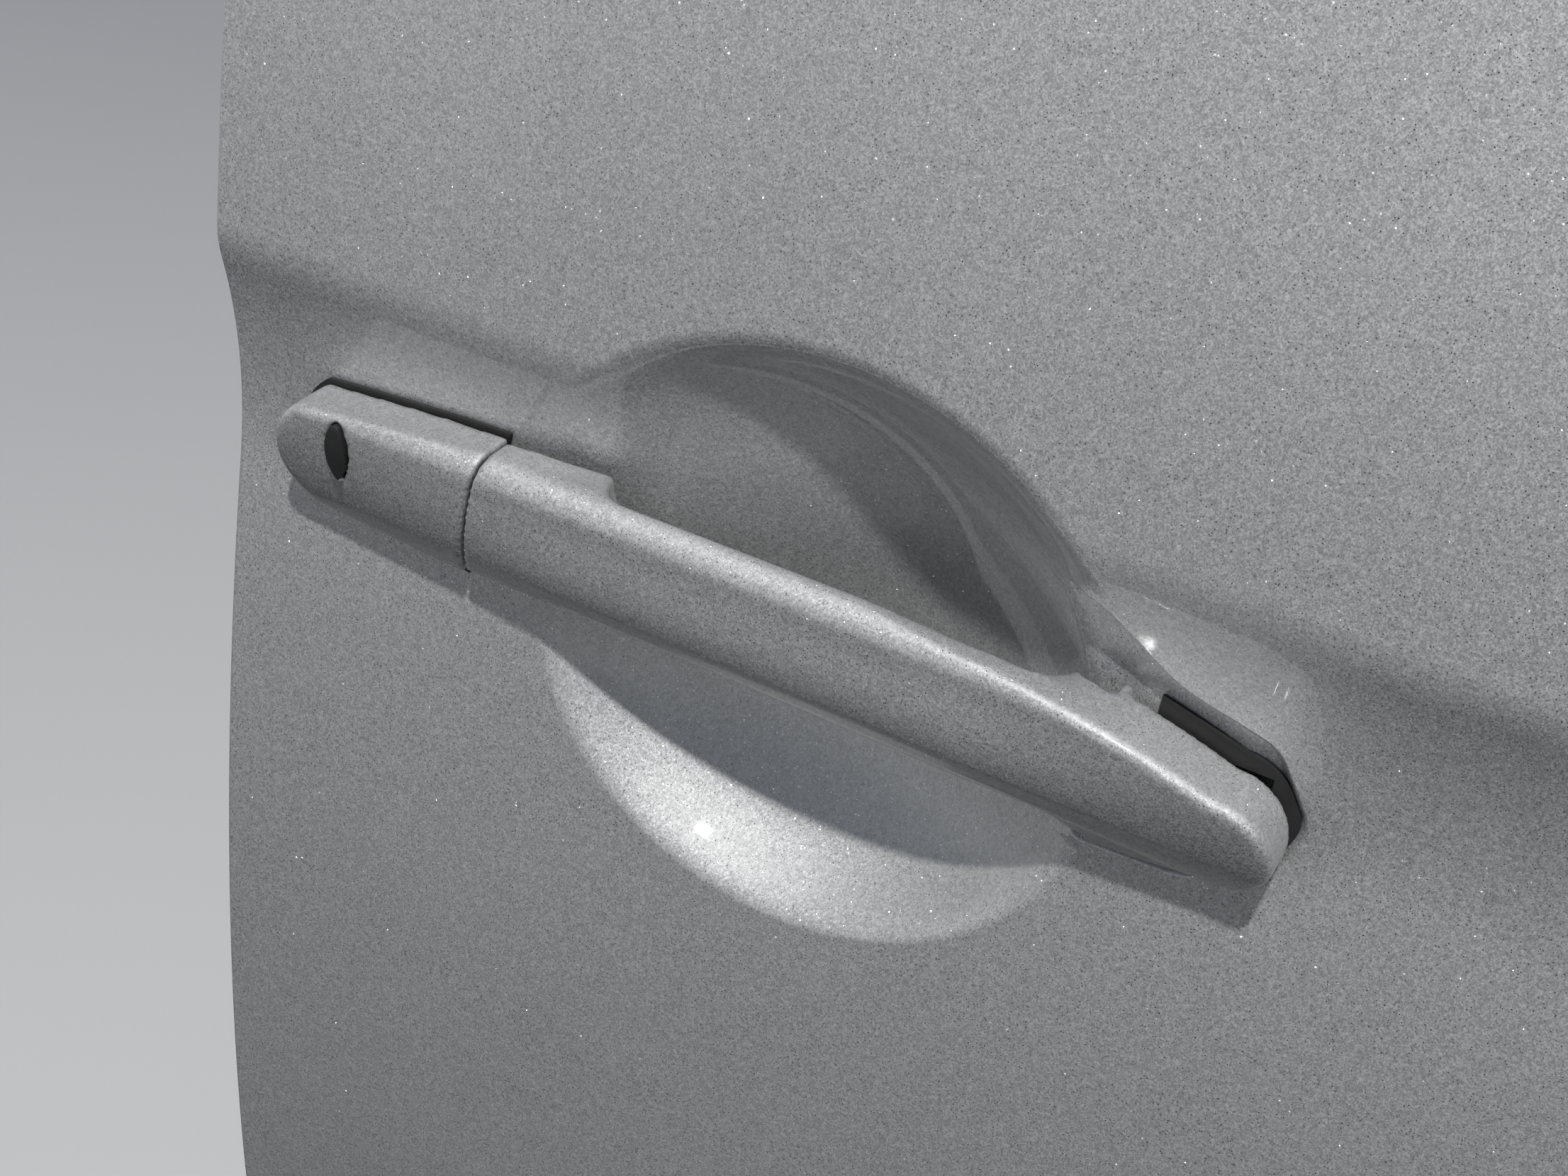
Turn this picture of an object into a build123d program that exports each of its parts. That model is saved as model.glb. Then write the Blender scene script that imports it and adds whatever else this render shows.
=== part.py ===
from build123d import *
import math
import os

# Right front door of a compact crossover, millimetres.
# Working frame: origin at the middle of the outside handle on the skin, +X forward, +Y inboard, +Z up.
# Every part is moved by TO_ROW on export, which puts the origin at the upper hinge's bolts.

# Door body
REAR_X = -141.0          # rear shut line
FRONT_X = 915.0          # front shut line
BOTTOM_Z = -515.0        # lower edge of the skin
BELT_REAR_Z = 200.0      # belt line at the rear edge
BELT_FRONT_Z = 160.0     # belt line at the front edge
REAR_CORNER_R = 60.0
FRONT_CORNER_R = 110.0
BELT_CORNER_R = 5.0
PLAN_R = 16000.0         # bow of the door seen from above
SKIN_T = 1.2
HEM_DEPTH = 13.0         # rolled edge of the skin
FACE_GAP = 0.3           # between a curved face and what seats on it

# Skin section, from the bottom up: straight run, lower arc, hollow, crease, upper arc
LOWER_R = 1250.0
LOWER_APEX = (-2.5, -105.0)      # y, z of the lower arc's outermost point
RUN_TOP_Z = -254.0               # the straight run reaches up to here
HOLLOW_R = 130.0
HOLLOW_APEX = (1.34, -2.0)       # y, z of the hollow's innermost point
CREASE_R = 22.0
UPPER_R = 1250.0
UPPER_APEX = (-8.35, 25.0)       # y, z where the upper arc would stand outermost

# Handle bowl and the pocket at the grip's front end
BOWL_X = 12.1
BOWL_Z = -0.1
BOWL_R = 70.0
BOWL_DEPTH = 29.0
BOWL_FLOOR_R = 40.0
BOWL_FLOOR_RISE = 2.6    # floor's dish from its middle to its edge
BOWL_KNEE_Y = 15.0       # where the straight wall ends
BOWL_WALL_LEAN = 0.433   # the wall's run per unit of depth
BOWL_CORNER_BULGE = 3.3
BOWL_LIP_R = 8.0
BOWL_FREE = 0.7          # the pocket's rim is clear of the bowl beyond this share of its radius
POCKET_FLOOR_Y = 4.0
POCKET_LIP_R = 1.5
# Pocket outline: x as a share of the bowl's radius from its middle, z, corner radius
POCKET_ROOT = [(0.63, -22.0, 1.0), (0.63, 34.0, 1.0), (0.827, 37.5, 14.0)]
# and round the nose: x from the grip's tip, z, corner radius
POCKET_NOSE = [
    (-29.8, 21.5, 30.0),
    (-7.8, 15.6, 9.0),
    (1.7, 0.0, 7.0),
    (-2.8, -12.5, 8.0),
    (-19.8, -20.5, 20.0),
]

# Inner panel
STEP_Y = 62.0            # seal land
DEEP_Y = 106.0           # face behind the trim
STEP_INSET = 14.0
DEEP_INSET = 56.0
PANEL_T = 1.5
PANEL_TOP_DROP = 30.0    # top of the inner panel below the belt line
HEM_INSET = 2.0
SEAL_OUT = 16.0          # the seal's edges, outward from the deep step
SEAL_IN = 5.0
SEAL_H = 9.5
SEAL_TOP_DROP = 6.0      # the seal ends this far below the panel's top
SEAL_FRAME_X = (8.0, 20.0)       # the frame's seal, inside the frame's outline
SEAL_FRAME_H = 9.0
TIGHTEST_REAR_R = 18.0
TIGHTEST_FRONT_R = 30.0
SERVICE_R = 24.0
SPEAKER_RIM = 8.0        # the panel's hole is this much smaller than the speaker

# Window frame and glass
WINDOW_SLOPE = 0.22
WINDOW_R = 1600.0
WINDOW_BASE_Z = 180.0
WINDOW_SET_IN = 6.0
FRAME_T = 28.0
FRAME_W = 30.0
FRAME_TOP_REAR_Z = 556.0
FRAME_TOP_X = 230.0
FRAME_TOP_Z = 586.0
FRAME_REAR_INSET = 7.0
FRAME_FRONT_INSET = 22.0
FRAME_REAR_CORNER_R = 45.0
FRAME_ROOF_R = 260.0
FRAME_FOOT_DROP = 28.0
WINDOW_LOW = 60.0        # window pieces are drawn from this height
GLASS_T = 4.0
GLASS_SET_IN = 10.0
GLASS_DROP = 80.0
CHANNEL_DEPTH = 10.0
CHANNEL_HALF = 6.0
CHANNEL_END = 3.0        # between the glass edge and the channel's floor
RUN_LIP = 3.0
GLASS_SLOT = (38.0, 70.0)        # slot in the panel's top, from the rear and front edges
GLASS_SLOT_HALF = 6.0
GLASS_SLOT_DEPTH = 12.0

# Hinges
PIN_X = 915.0
PIN_Y = 84.0
UPPER_HINGE_Z = 20.0
LOWER_HINGE_Z = -340.0
PIN_R = 5.0
PIN_PLAY = 0.05
KNUCKLE_R = 9.0
KNUCKLE_HALF = 24.0
EAR_T = 8.0
EAR_GAP = 0.5
LEAF_T = 6.0
LEAF_HALF = 40.0
LEAF_LEN = 62.0
LEAF_OFFSET = 11.0       # from pin axis to the plate's near edge
BOLT_R = 5.5
BOLT_SPACING = 50.0
LEAF_CORNER_R = 10.0
LEAF_FACE_OFFSET = 14.0  # from the pin axis to the body leaf's mating face
ARM_HALF = 4.0
EAR_ARM_HALF = 5.0
EAR_ARM_END = 22.0
PIN_STAND = 3.0
DOOR_LEAF_R = 8.0
HEAD_R = 7.5             # bolt heads on the door leaf
HEAD_H = 7.0
HEAD_OUT = 6.0           # further apart than the body leaf's bolts

# Handle, front view: arcs by start, middle and end in x, z
HANDLE_TIP_X = 120.8
HANDLE_ARCS = [
    ((-113.0, 18.6), (-120.6, 3.0), (-114.0, -11.0)),
    ((-114.0, -11.0), (-60.0, -17.2), (40.0, -19.6)),
    ((40.0, -19.6), (84.0, -20.0), (106.0, -15.6)),
    ((106.0, -15.6), (HANDLE_TIP_X, -2.5), (107.0, 10.8)),
    ((107.0, 10.8), (82.0, 17.6), (50.0, 21.0)),
    ((50.0, 21.0), (-30.0, 23.6), (-113.0, 18.6)),
]
# Handle, end view in y, z: flat top, soft crest, front face leaning in to the lower edge
GRIP_TOP = ((14.0, 26.0), (-11.0, 22.6))
GRIP_CREST = ((-15.6, 20.6), (-16.9, 16.4))
GRIP_FACE = ((-12.6, 0.0), (-2.2, -18.2))
GRIP_UNDER = ((2.0, -24.0), (14.0, -24.0))
HANDLE_EDGE_R = 2.0
HANDLE_REACH = 150.0             # half length that the bar is drawn to before its outline trims it
SEAM_REACH = 30.0                # the seam's plane is drawn this far past its ends
SEAM_TOP = (-63.5, 24.0)         # x, z of the slanted seam between cap and grip
SEAM_BOTTOM = (-73.5, -17.0)
SEAM_GAP = 0.6
HANDLE_YAW = 1.0
GASKET_T = 1.2
GASKET_RIM = 0.8                 # the front seat's rim outside the grip's outline
BUTTON = (-101.9, 10.2)          # the request button: leaning almond, x from its middle and z
BUTTON_TOP = (0.7, 8.7)
BUTTON_TIP = (-0.5, -8.5)
BUTTON_HALF_W = 2.6
BUTTON_TOP_R = 1.2
BUTTON_TIP_R = 0.5
GRIP_BACK_Y = -4.0
GRIP_FOOT_X = 80.0               # the grip's foot reaches down to its seat in front of here
FOOT_STAND = 0.9                 # free height between the foot and its seat
FOOT_INSET = 2.5                 # the foot's side, inside the grip's outline
FOOT_TOP_Y = -1.5
GRIP_PIVOT = (121.0, 11.5)       # x, y of the grip's pivot, behind the skin in front of the pocket
GRIP_PIN_R = 3.0
GRIP_PIN_HALF = 9.0
HOOK_X = (102.0, 110.0)          # the grip's hook where it goes in through the pocket's floor
HOOK_HALF = 5.0
HOOK_T = 6.0                     # hook between the floor and the pivot
HOOK_EYE_R = 5.0
HOOK_HOLE = ((100.0, 114.0), (-8.0, 8.0))
ARM_X = (-66.0, -58.0)           # pull arm behind the grip's rear end
ARM_Z = (-6.0, 6.0)
ARM_END_Y = 50.0
ARM_HOLE = ((-71.0, -55.0), (-8.0, 8.0))
CAP_POST = (-95.0, 2.0)          # x, z of the post that the cap is screwed by
CAP_POST_R = 4.0
CAP_POST_END_Y = 20.0
POST_PLAY = 0.2
BRACKET_T = 6.0
BUTTON_FLOOR_Y = -7.0
BUTTON_STAND = 0.8
SCOOP_X = 16.0                   # finger scoop in the grip's top rear edge
SCOOP_Y = 2.0
SCOOP_Z = 24.0
SCOOP_R = 13.0
SCOOP_LEN = 112.0
SCOOP_END = 0.8                  # roundness of the scoop's ends, as a share of its radius
AREA_X = (-110.0, 150.0)         # part of the skin that carries the handle
AREA_Z = (-88.0, 100.0)
AREA_Y = (-60.0, 60.0)
HOLE_Y = (-30.0, 20.0)           # depth that the skin's openings are cut through
GASKET_EDGE = 1.0                # the cap's gasket shows this much round the cap
BOWL_MARGIN = 10.0               # the cap's gasket ends this far outside the bowl
GASKET_BACK_X = 88.0             # rear edge of the grip's seat

# Carrier behind the handle
CRADLE_Y = (-6.0, 10.0)          # cradle cheeks, from the pivot
CRADLE_HALF = 14.0
CRADLE_END = 8.0                 # past the pivot
CRADLE_CLEAR = 3.0               # from the hook
WELL_HALF = 6.0                  # room for the hook between the cheeks
WELL_Y = 7.0
BRIDGE_GAP = 2.0                 # behind the bowl's back
BRIDGE_HALF = 12.0
HOUSING_X = 12.0                 # housing past the cap's post
HOUSING_Z = (-15.0, 17.0)
HOUSING_NEAR_Y = 6.5
HOUSING_BOWL_GAP = 6.0
HOUSING_ROOM = ((9.0, -4.0), 12.0, (-11.0, 13.0))

# Latch and check arm
LATCH_Z = -60.0
LATCH_MOUTH_Y = (34.0, 60.0)
LATCH_DEPTH = 62.0
LATCH_MOUTH_DEPTH = 24.0         # how far the striker's path reaches in from the rear wall
LATCH_HALF = 42.0
LATCH_NEAR = 14.0                # case outboard of the mouth
MOUTH_HALF = 7.0
CLAW_R = 10.0
CLAW_SET_IN = 9.0
CLAW_T = 6.0
CLAW_SLOT = 5.5
PANEL_MOUTH_GAP = 3.0            # the panel's opening round the mouth
CHECK_Z = -160.0
CHECK_EYE_X = 960.0              # ahead of the hinge line, clear of both hinges
CHECK_EYE_R = 4.1
CHECK_EYE_RIM = 9.0
CHECK_PLATE = (5.0, (-16.0, 14.0), 18.0)     # thickness, width about the pin's line, half height
CHECK_ARM_HALF = (2.5, 8.0)

# Interior trim
TRIM_GAP = 0.3
TRIM_Y = 138.0
TRIM_T = 3.0
TRIM_INSET = 50.0
TRIM_EDGE_R = 12.0
TRIM_DROP = 12.0         # top of the trim panel below the belt line
REAR_TRIM = 45.0         # belt pieces end this far in from the rear edge
FRONT_TRIM = 188.0       # and this far in from the front edge
SHOULDER_Y = 54.0
MOULDING_STAND = 2.5     # the belt moulding's stand-out from the skin
MOULDING_H = 10.0        # and how far it covers the skin
MOULDING_RISE = 7.0
MOULDING_INSET = 4.0     # its ends, in from the shut lines
MOULDING_BACK = 2.0
LIP_DROP = 1.0
BELT_SEAL = (-6.0, 2.0)          # inner belt seal, from the belt line
SHOULDER_LIP = 2.0
SHOULDER_RUN = (22.0, 8.0)       # upper pad's outer crest, from its edge
SHOULDER_BACK = (22.0, 4.0, 4.0)
SHOULDER_RADII = (1.0, 4.0, 40.0, 14.0, 1.0)
PAD_STAND = 4.0
INSERT_R = 22.0

INSERT_X = (-70.0, 560.0)
INSERT_Z = (-20.0, 110.0)
ARMREST_X = (40.0, 560.0)
ARMREST_Y = 200.0
ARMREST_Z = (-120.0, -46.0)
ARMREST_EDGE_R = 8.0
ARMREST_NOSE_R = 34.0
ARMREST_TAPER = (34.0, 46.0)     # its inner face is shorter by this at the rear and front
CUP_FLOOR = 5.0
CUP_R = 12.0
CUP_X = (110.0, 230.0)           # pull cup in the armrest
CUP_Y = (150.0, 186.0)
SWITCH_X = (300.0, 430.0)
SWITCH_Y = (146.0, 190.0)
SWITCH_SINK = 5.0
SWITCH_R = 8.0
SWITCHES = 4
KEY_SIZE = (18.0, 22.0, 5.0)
KEY_PITCH = 28.0
KEY_START = 22.0
KEY_STAND = 2.5
KEY_EDGE_R = 1.5
PLATE_STAND = 1.0
HANDLE_BEZEL = ((600.0, 720.0), (10.0, 70.0))
BEZEL_R = 14.0
BEZEL_RIM = 5.0
BEZEL_STAND = 1.5
BEZEL_DEPTH = (6.0, 9.0)         # its back and its dish, from the deep face
LEVER_END = (22.0, 12.0)
LEVER_HALF = 13.0
LEVER_CORNER_R = 10.0
LEVER_EDGE_R = 2.0
LEVER_Y = (-8.0, -1.0)
LEVER_ROOT = (34.0, 14.0, 9.0)
SPEAKER = (700.0, -330.0)
SPEAKER_R = 84.0
GRILLE_Y = (-2.0, 5.0)           # rim and crown, from the trim's face
GRILLE_BACK = (-12.0, 1.5)
GRILLE_WALL = 4.0
GRILLE_SLOT = 4.0
GRILLE_PITCH = 9.0
GRILLE_SLOTS = 13
GRILLE_BORDER = 12.0
POCKET_X = (-40.0, 560.0)
POCKET_Y = 184.0
POCKET_Z = (-470.0, -290.0)
POCKET_R = 26.0
POCKET_EDGE_R = 10.0
POCKET_WALL = 4.0
POCKET_BACK = 3.0
POCKET_MOUTH = 14.0              # cut off the top to open it
SAIL_X = 690.0
SAIL_Y = (-8.0, -4.5)            # from the outer face of the glass
COVER_LIFT = 8.0                 # window covers start this far above the belt line
COVER_T = 2.0
COVER_INSET = 1.0
SERVICE_HOLES = [((20, 240), (-300, -120)), ((300, 560), (-320, -60)), ((20, 240), (-60, 90))]

HINGE_BOLT_X = PIN_X + LEAF_OFFSET + LEAF_LEN / 2
LEAF_FACE_Y = PIN_Y + LEAF_FACE_OFFSET
TO_ROW = Pos(-HINGE_BOLT_X, -LEAF_FACE_Y, -UPPER_HINGE_Z)
PLAN_AXIS = Axis((0, PLAN_R, 0), (0, 0, 1))
GASKET_FACE_Y = POCKET_FLOOR_Y - FACE_GAP - GASKET_T
SLAB_MARGIN = 20.0       # slabs are drawn this far past the door's outline
FAR = 400.0


def belt_z(x):
    share = (x - REAR_X) / (FRONT_X - REAR_X)
    return BELT_REAR_Z + share * (BELT_FRONT_Z - BELT_REAR_Z)


def circles_meet(c1, r1, c2, r2, side):
    """Point at r1 from c1 and r2 from c2, on the given side of the line between them."""
    dy = c2[0] - c1[0]
    dz = c2[1] - c1[1]
    d = math.hypot(dy, dz)
    along = (r1 * r1 - r2 * r2 + d * d) / (2 * d)
    up = side * math.sqrt(r1 * r1 - along * along)
    return (c1[0] + (along * dy - up * dz) / d, c1[1] + (along * dz + up * dy) / d)


def between(c1, c2, r1):
    """Point at r1 from c1 towards c2; a negative r1 points away."""
    d = math.hypot(c2[0] - c1[0], c2[1] - c1[1])
    return (c1[0] + (c2[0] - c1[0]) * r1 / d, c1[1] + (c2[1] - c1[1]) * r1 / d)


LOWER_C = (LOWER_APEX[0] + LOWER_R, LOWER_APEX[1])
HOLLOW_C = (HOLLOW_APEX[0] - HOLLOW_R, HOLLOW_APEX[1])
UPPER_C = (UPPER_APEX[0] + UPPER_R, UPPER_APEX[1])
CREASE_C = circles_meet(HOLLOW_C, HOLLOW_R + CREASE_R, UPPER_C, UPPER_R - CREASE_R, 1)


def on_arc(centre, radius, z, sign):
    """Point of a circle at height z, on its outboard (-1) or inboard (+1) side."""
    return (centre[0] + sign * math.sqrt(radius ** 2 - (z - centre[1]) ** 2), z)


def skin_line(top_z, shift):
    """Edges of the skin section in y, z, moved inboard by shift."""
    bottom_z = BOTTOM_Z - SLAB_MARGIN
    run_top = on_arc(LOWER_C, LOWER_R, RUN_TOP_Z, -1)
    slope = (RUN_TOP_Z - LOWER_C[1]) / (LOWER_C[0] - run_top[0])
    run_bottom = (run_top[0] + slope * (bottom_z - RUN_TOP_Z), bottom_z)
    join = between(LOWER_C, HOLLOW_C, LOWER_R)
    crease_low = between(HOLLOW_C, CREASE_C, HOLLOW_R)
    crease_high = between(UPPER_C, CREASE_C, UPPER_R)
    top = on_arc(UPPER_C, UPPER_R, top_z, -1)

    def arc(a, b, centre, radius, sign):
        return ThreePointArc(a, on_arc(centre, radius, (a[1] + b[1]) / 2, sign), b)

    edges = [
        Line(run_bottom, run_top),
        arc(run_top, join, LOWER_C, LOWER_R, -1),
        arc(join, crease_low, HOLLOW_C, HOLLOW_R, 1),
        arc(crease_low, crease_high, CREASE_C, CREASE_R, -1),
        arc(crease_high, top, UPPER_C, UPPER_R, -1),
    ]
    low = (run_bottom[0] + shift, run_bottom[1])
    high = (top[0] + shift, top[1])
    return [Pos(shift, 0) * edge for edge in edges], low, high


def window_line(bottom_z, top_z, shift):
    """Edge of the window section in y, z: one arc that leans inboard."""
    base_y = on_arc(UPPER_C, UPPER_R, WINDOW_BASE_Z, -1)[0] + WINDOW_SET_IN + shift
    steep = math.hypot(1.0, WINDOW_SLOPE)
    centre = (base_y + WINDOW_R / steep, WINDOW_BASE_Z - WINDOW_R * WINDOW_SLOPE / steep)
    low = on_arc(centre, WINDOW_R, bottom_z, -1)
    middle = on_arc(centre, WINDOW_R, (bottom_z + top_z) / 2, -1)
    high = on_arc(centre, WINDOW_R, top_z, -1)
    return [ThreePointArc(low, middle, high)], low, high


def bowed(line_a, line_b):
    """Slab between two section lines, swept along the door's bow."""
    edges_a, low_a, high_a = line_a
    edges_b, low_b, high_b = line_b
    outline = edges_a + [Line(high_a, high_b)] + edges_b + [Line(low_b, low_a)]
    face = make_face(outline)
    face = Plane.YZ * face
    start = math.degrees((REAR_X - 2 * SLAB_MARGIN) / PLAN_R)
    end = math.degrees((FRONT_X + 3 * SLAB_MARGIN) / PLAN_R)
    return revolve(face.rotate(PLAN_AXIS, start), PLAN_AXIS, end - start)


def skin_slab(near, far):
    top_z = BELT_REAR_Z + SLAB_MARGIN
    return bowed(skin_line(top_z, near), skin_line(top_z, far))


def window_slab(near, far):
    top_z = FRAME_TOP_Z + SLAB_MARGIN
    return bowed(window_line(WINDOW_LOW, top_z, near), window_line(WINDOW_LOW, top_z, far))


def front_view(sketch, near=-FAR, far=FAR):
    """Solid of a front-view outline drawn in x, z, from near to far in y."""
    return extrude(Pos(0, near, 0) * (Plane.XZ * sketch), far - near, dir=(0, 1, 0))


def door_outline(inset=0.0, top_drop=0.0):
    """Front view of the door below the belt line."""
    x0 = REAR_X + inset
    x1 = FRONT_X - inset
    z0 = BOTTOM_Z + inset
    pts = [(x0, belt_z(x0) - top_drop), (x0, z0), (x1, z0), (x1, belt_z(x1) - top_drop)]
    rear_r = max(REAR_CORNER_R - inset, TIGHTEST_REAR_R)
    front_r = max(FRONT_CORNER_R - inset, TIGHTEST_FRONT_R)
    radii = [BELT_CORNER_R, rear_r, front_r, BELT_CORNER_R]
    return make_face(FilletPolyline(*pts, radius=radii, close=True))


def block(x, y, z):
    middle = Pos((x[0] + x[1]) / 2, (y[0] + y[1]) / 2, (z[0] + z[1]) / 2)
    return middle * Box(x[1] - x[0], y[1] - y[0], z[1] - z[0])


def rounded(x, z, radius):
    w = x[1] - x[0]
    h = z[1] - z[0]
    return Pos((x[0] + x[1]) / 2, (z[0] + z[1]) / 2) * RectangleRounded(w, h, radius)


def post(x, y, z, radius):
    """Upright cylinder between two heights."""
    return Pos(x, y, (z[0] + z[1]) / 2) * Cylinder(radius, z[1] - z[0])


def rod_y(x, z, y, radius):
    """Cylinder along Y between two depths."""
    return Pos(x, (y[0] + y[1]) / 2, z) * Rot(90, 0, 0) * Cylinder(radius, y[1] - y[0])


def bowl_void(grow=0.0):
    """Round recess with a steep wall and a shallow floor, turned about an axis through the door."""
    floor_y = BOWL_DEPTH + grow
    knee = (BOWL_R + grow - BOWL_WALL_LEAN * BOWL_KNEE_Y, BOWL_KNEE_Y)
    mouth_y = -BOWL_DEPTH
    mouth = (knee[0] + BOWL_WALL_LEAN * (BOWL_KNEE_Y - mouth_y), mouth_y)
    floor_edge = (BOWL_FLOOR_R, floor_y - BOWL_FLOOR_RISE)
    bulge = BOWL_CORNER_BULGE
    corner = ((floor_edge[0] + knee[0]) / 2 + bulge, (floor_edge[1] + knee[1]) / 2 + bulge)
    line = [
        Line((0, mouth_y), (0, floor_y)),
        ThreePointArc((0, floor_y), (BOWL_FLOOR_R / 2, floor_y - BOWL_FLOOR_RISE / 4), floor_edge),
        ThreePointArc(floor_edge, corner, knee),
        Line(knee, mouth),
        Line(mouth, (0, mouth_y)),
    ]
    return Pos(BOWL_X, 0, BOWL_Z) * revolve(make_face(line), Axis.Y, 360)


def pocket_outline(grow=0.0):
    rows = [(BOWL_X + BOWL_R * share, z, r) for share, z, r in POCKET_ROOT]
    rows = rows + [(HANDLE_TIP_X + dx, z, r) for dx, z, r in POCKET_NOSE]
    points = [(x, z) for x, z, r in rows]
    outline = make_face(FilletPolyline(*points, radius=[r for x, z, r in rows], close=True))
    return offset(outline, grow) if grow else outline


def pocket_void(grow=0.0):
    """Recess that the grip's front end sits in."""
    return front_view(pocket_outline(grow), -BOWL_DEPTH, POCKET_FLOOR_Y + grow)


def rim_edges(solid, reach):
    """Edges where the bowl meets the skin."""
    found = []
    for edge in solid.edges().filter_by(GeomType.BSPLINE):
        c = edge.center()
        if math.hypot(c.X - BOWL_X, c.Z - BOWL_Z) < BOWL_R + reach and c.Y < reach:
            found.append(edge)
    return found


def pocket_rim(solid, before):
    """Edges that the pocket cut has added on the skin side."""
    old = [edge.center() for edge in before.edges()]
    found = []
    for edge in solid.edges():
        c = edge.center()
        fresh = all((c - o).length > 0.01 for o in old)
        if fresh and c.X > BOWL_X + BOWL_R * BOWL_FREE and c.Y < POCKET_FLOOR_Y - 1.0:
            found.append(edge)
    return found


def bowl_area():
    """Skin round the handle with bowl and pocket pressed in."""
    area = block(AREA_X, AREA_Y, AREA_Z)
    outer = skin_slab(0, AREA_Y[1]) & area
    outer = outer - bowl_void()
    outer = fillet(rim_edges(outer, BOWL_LIP_R), BOWL_LIP_R)
    before = outer
    outer = outer - pocket_void()
    outer = fillet(pocket_rim(outer, before), POCKET_LIP_R)
    inner = skin_slab(SKIN_T, AREA_Y[1] + SKIN_T) & area
    inner = inner - bowl_void(SKIN_T)
    inner = fillet(rim_edges(inner, BOWL_LIP_R), BOWL_LIP_R - SKIN_T)
    inner = inner - pocket_void(SKIN_T)
    return outer - inner


def outline_edges(solid):
    """Edges between a solid's outboard faces and its sides."""
    outboard = [face for face in solid.faces() if face.normal_at(face.center()).Y < -0.5]
    sides = [face for face in solid.faces() if abs(face.normal_at(face.center()).Y) <= 0.5]
    side_edges = [edge for face in sides for edge in face.edges()]
    found = []
    for edge in [edge for face in outboard for edge in face.edges()]:
        if any(edge.is_same(other) for other in side_edges):
            found.append(edge)
    return found


def skin_holes():
    """Openings behind the handle for its hook, its pull arm and the cap's screw post."""
    hook = block(HOOK_HOLE[0], HOLE_Y, HOOK_HOLE[1])
    arm = block(ARM_HOLE[0], HOLE_Y, ARM_HOLE[1])
    cap = rod_y(CAP_POST[0], CAP_POST[1], HOLE_Y, CAP_POST_R + GASKET_EDGE)
    return hook + arm + cap


def outer_skin():
    shell = skin_slab(0, HEM_DEPTH) & front_view(door_outline())
    hollow = skin_slab(SKIN_T, 2 * HEM_DEPTH) & front_view(door_outline(SKIN_T))
    shell = shell - hollow
    area = block(AREA_X, AREA_Y, AREA_Z)
    return shell - area + bowl_area() - skin_holes()


def inner_panel():
    """Pressed pan in two steps, with its hem flange, glass slot and service holes."""
    drop = PANEL_TOP_DROP

    def pan(wall):
        step = front_view(door_outline(STEP_INSET + wall, top_drop=drop + wall), -FAR, STEP_Y - wall)
        deep = front_view(door_outline(DEEP_INSET + wall, top_drop=drop + wall), 0, DEEP_Y - wall)
        return step + deep

    inboard = skin_slab(SKIN_T + FACE_GAP, 2 * DEEP_Y)
    solid = (pan(0) & inboard) - pan(PANEL_T)
    hem_near = SKIN_T + FACE_GAP
    hem = skin_slab(hem_near, hem_near + PANEL_T) & front_view(
        door_outline(HEM_INSET, top_drop=drop) - door_outline(STEP_INSET + PANEL_T / 2, top_drop=drop)
    )
    solid = solid + hem
    holes = Sketch() + [rounded(x, z, SERVICE_R) for x, z in SERVICE_HOLES]
    holes = holes + Pos(SPEAKER[0], SPEAKER[1]) * Circle(SPEAKER_R - SPEAKER_RIM)
    solid = solid - front_view(holes, (STEP_Y + DEEP_Y) / 2, 2 * DEEP_Y)
    slot = window_slab(GLASS_SET_IN - GLASS_SLOT_HALF, GLASS_SET_IN + GLASS_T + GLASS_SLOT_HALF)
    solid = solid - (slot & front_view(glass_slot_outline()))
    mouth_x = (REAR_X, REAR_X + STEP_INSET + LATCH_MOUTH_DEPTH)
    mouth_half = MOUTH_HALF + PANEL_MOUTH_GAP
    mouth_y = (LATCH_MOUTH_Y[0] - PANEL_MOUTH_GAP, STEP_Y + 1)
    return solid - block(mouth_x, mouth_y, (LATCH_Z - mouth_half, LATCH_Z + mouth_half))


def glass_slot_outline():
    low = -PANEL_TOP_DROP - GLASS_SLOT_DEPTH
    return belt_band(low, PANEL_TOP_DROP, GLASS_SLOT[0], GLASS_SLOT[1])


def frame_outline():
    x0 = REAR_X + FRAME_REAR_INSET
    x1 = FRONT_X - FRAME_FRONT_INSET
    pts = [
        (x0, belt_z(x0) - FRAME_FOOT_DROP),
        (x0, FRAME_TOP_REAR_Z),
        (FRAME_TOP_X, FRAME_TOP_Z),
        (x1, belt_z(x1) - FRAME_FOOT_DROP),
    ]
    return make_face(FilletPolyline(*pts, radius=[1, FRAME_REAR_CORNER_R, FRAME_ROOF_R, 1], close=True))


def daylight(grow=0.0):
    """Clear opening of the window, reaching below the belt."""
    opening = offset(frame_outline(), -(FRAME_W - grow), kind=Kind.INTERSECTION)
    return opening + Pos(0, -FRAME_W) * opening + Pos(0, -2 * FRAME_W) * opening


def window_frame():
    slab = window_slab(0, FRAME_T)
    ring = slab & front_view(frame_outline() - daylight())
    mid = GLASS_SET_IN + GLASS_T / 2
    groove = window_slab(mid - CHANNEL_HALF, mid + CHANNEL_HALF)
    return ring - (groove & front_view(daylight(CHANNEL_DEPTH)))


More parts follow.
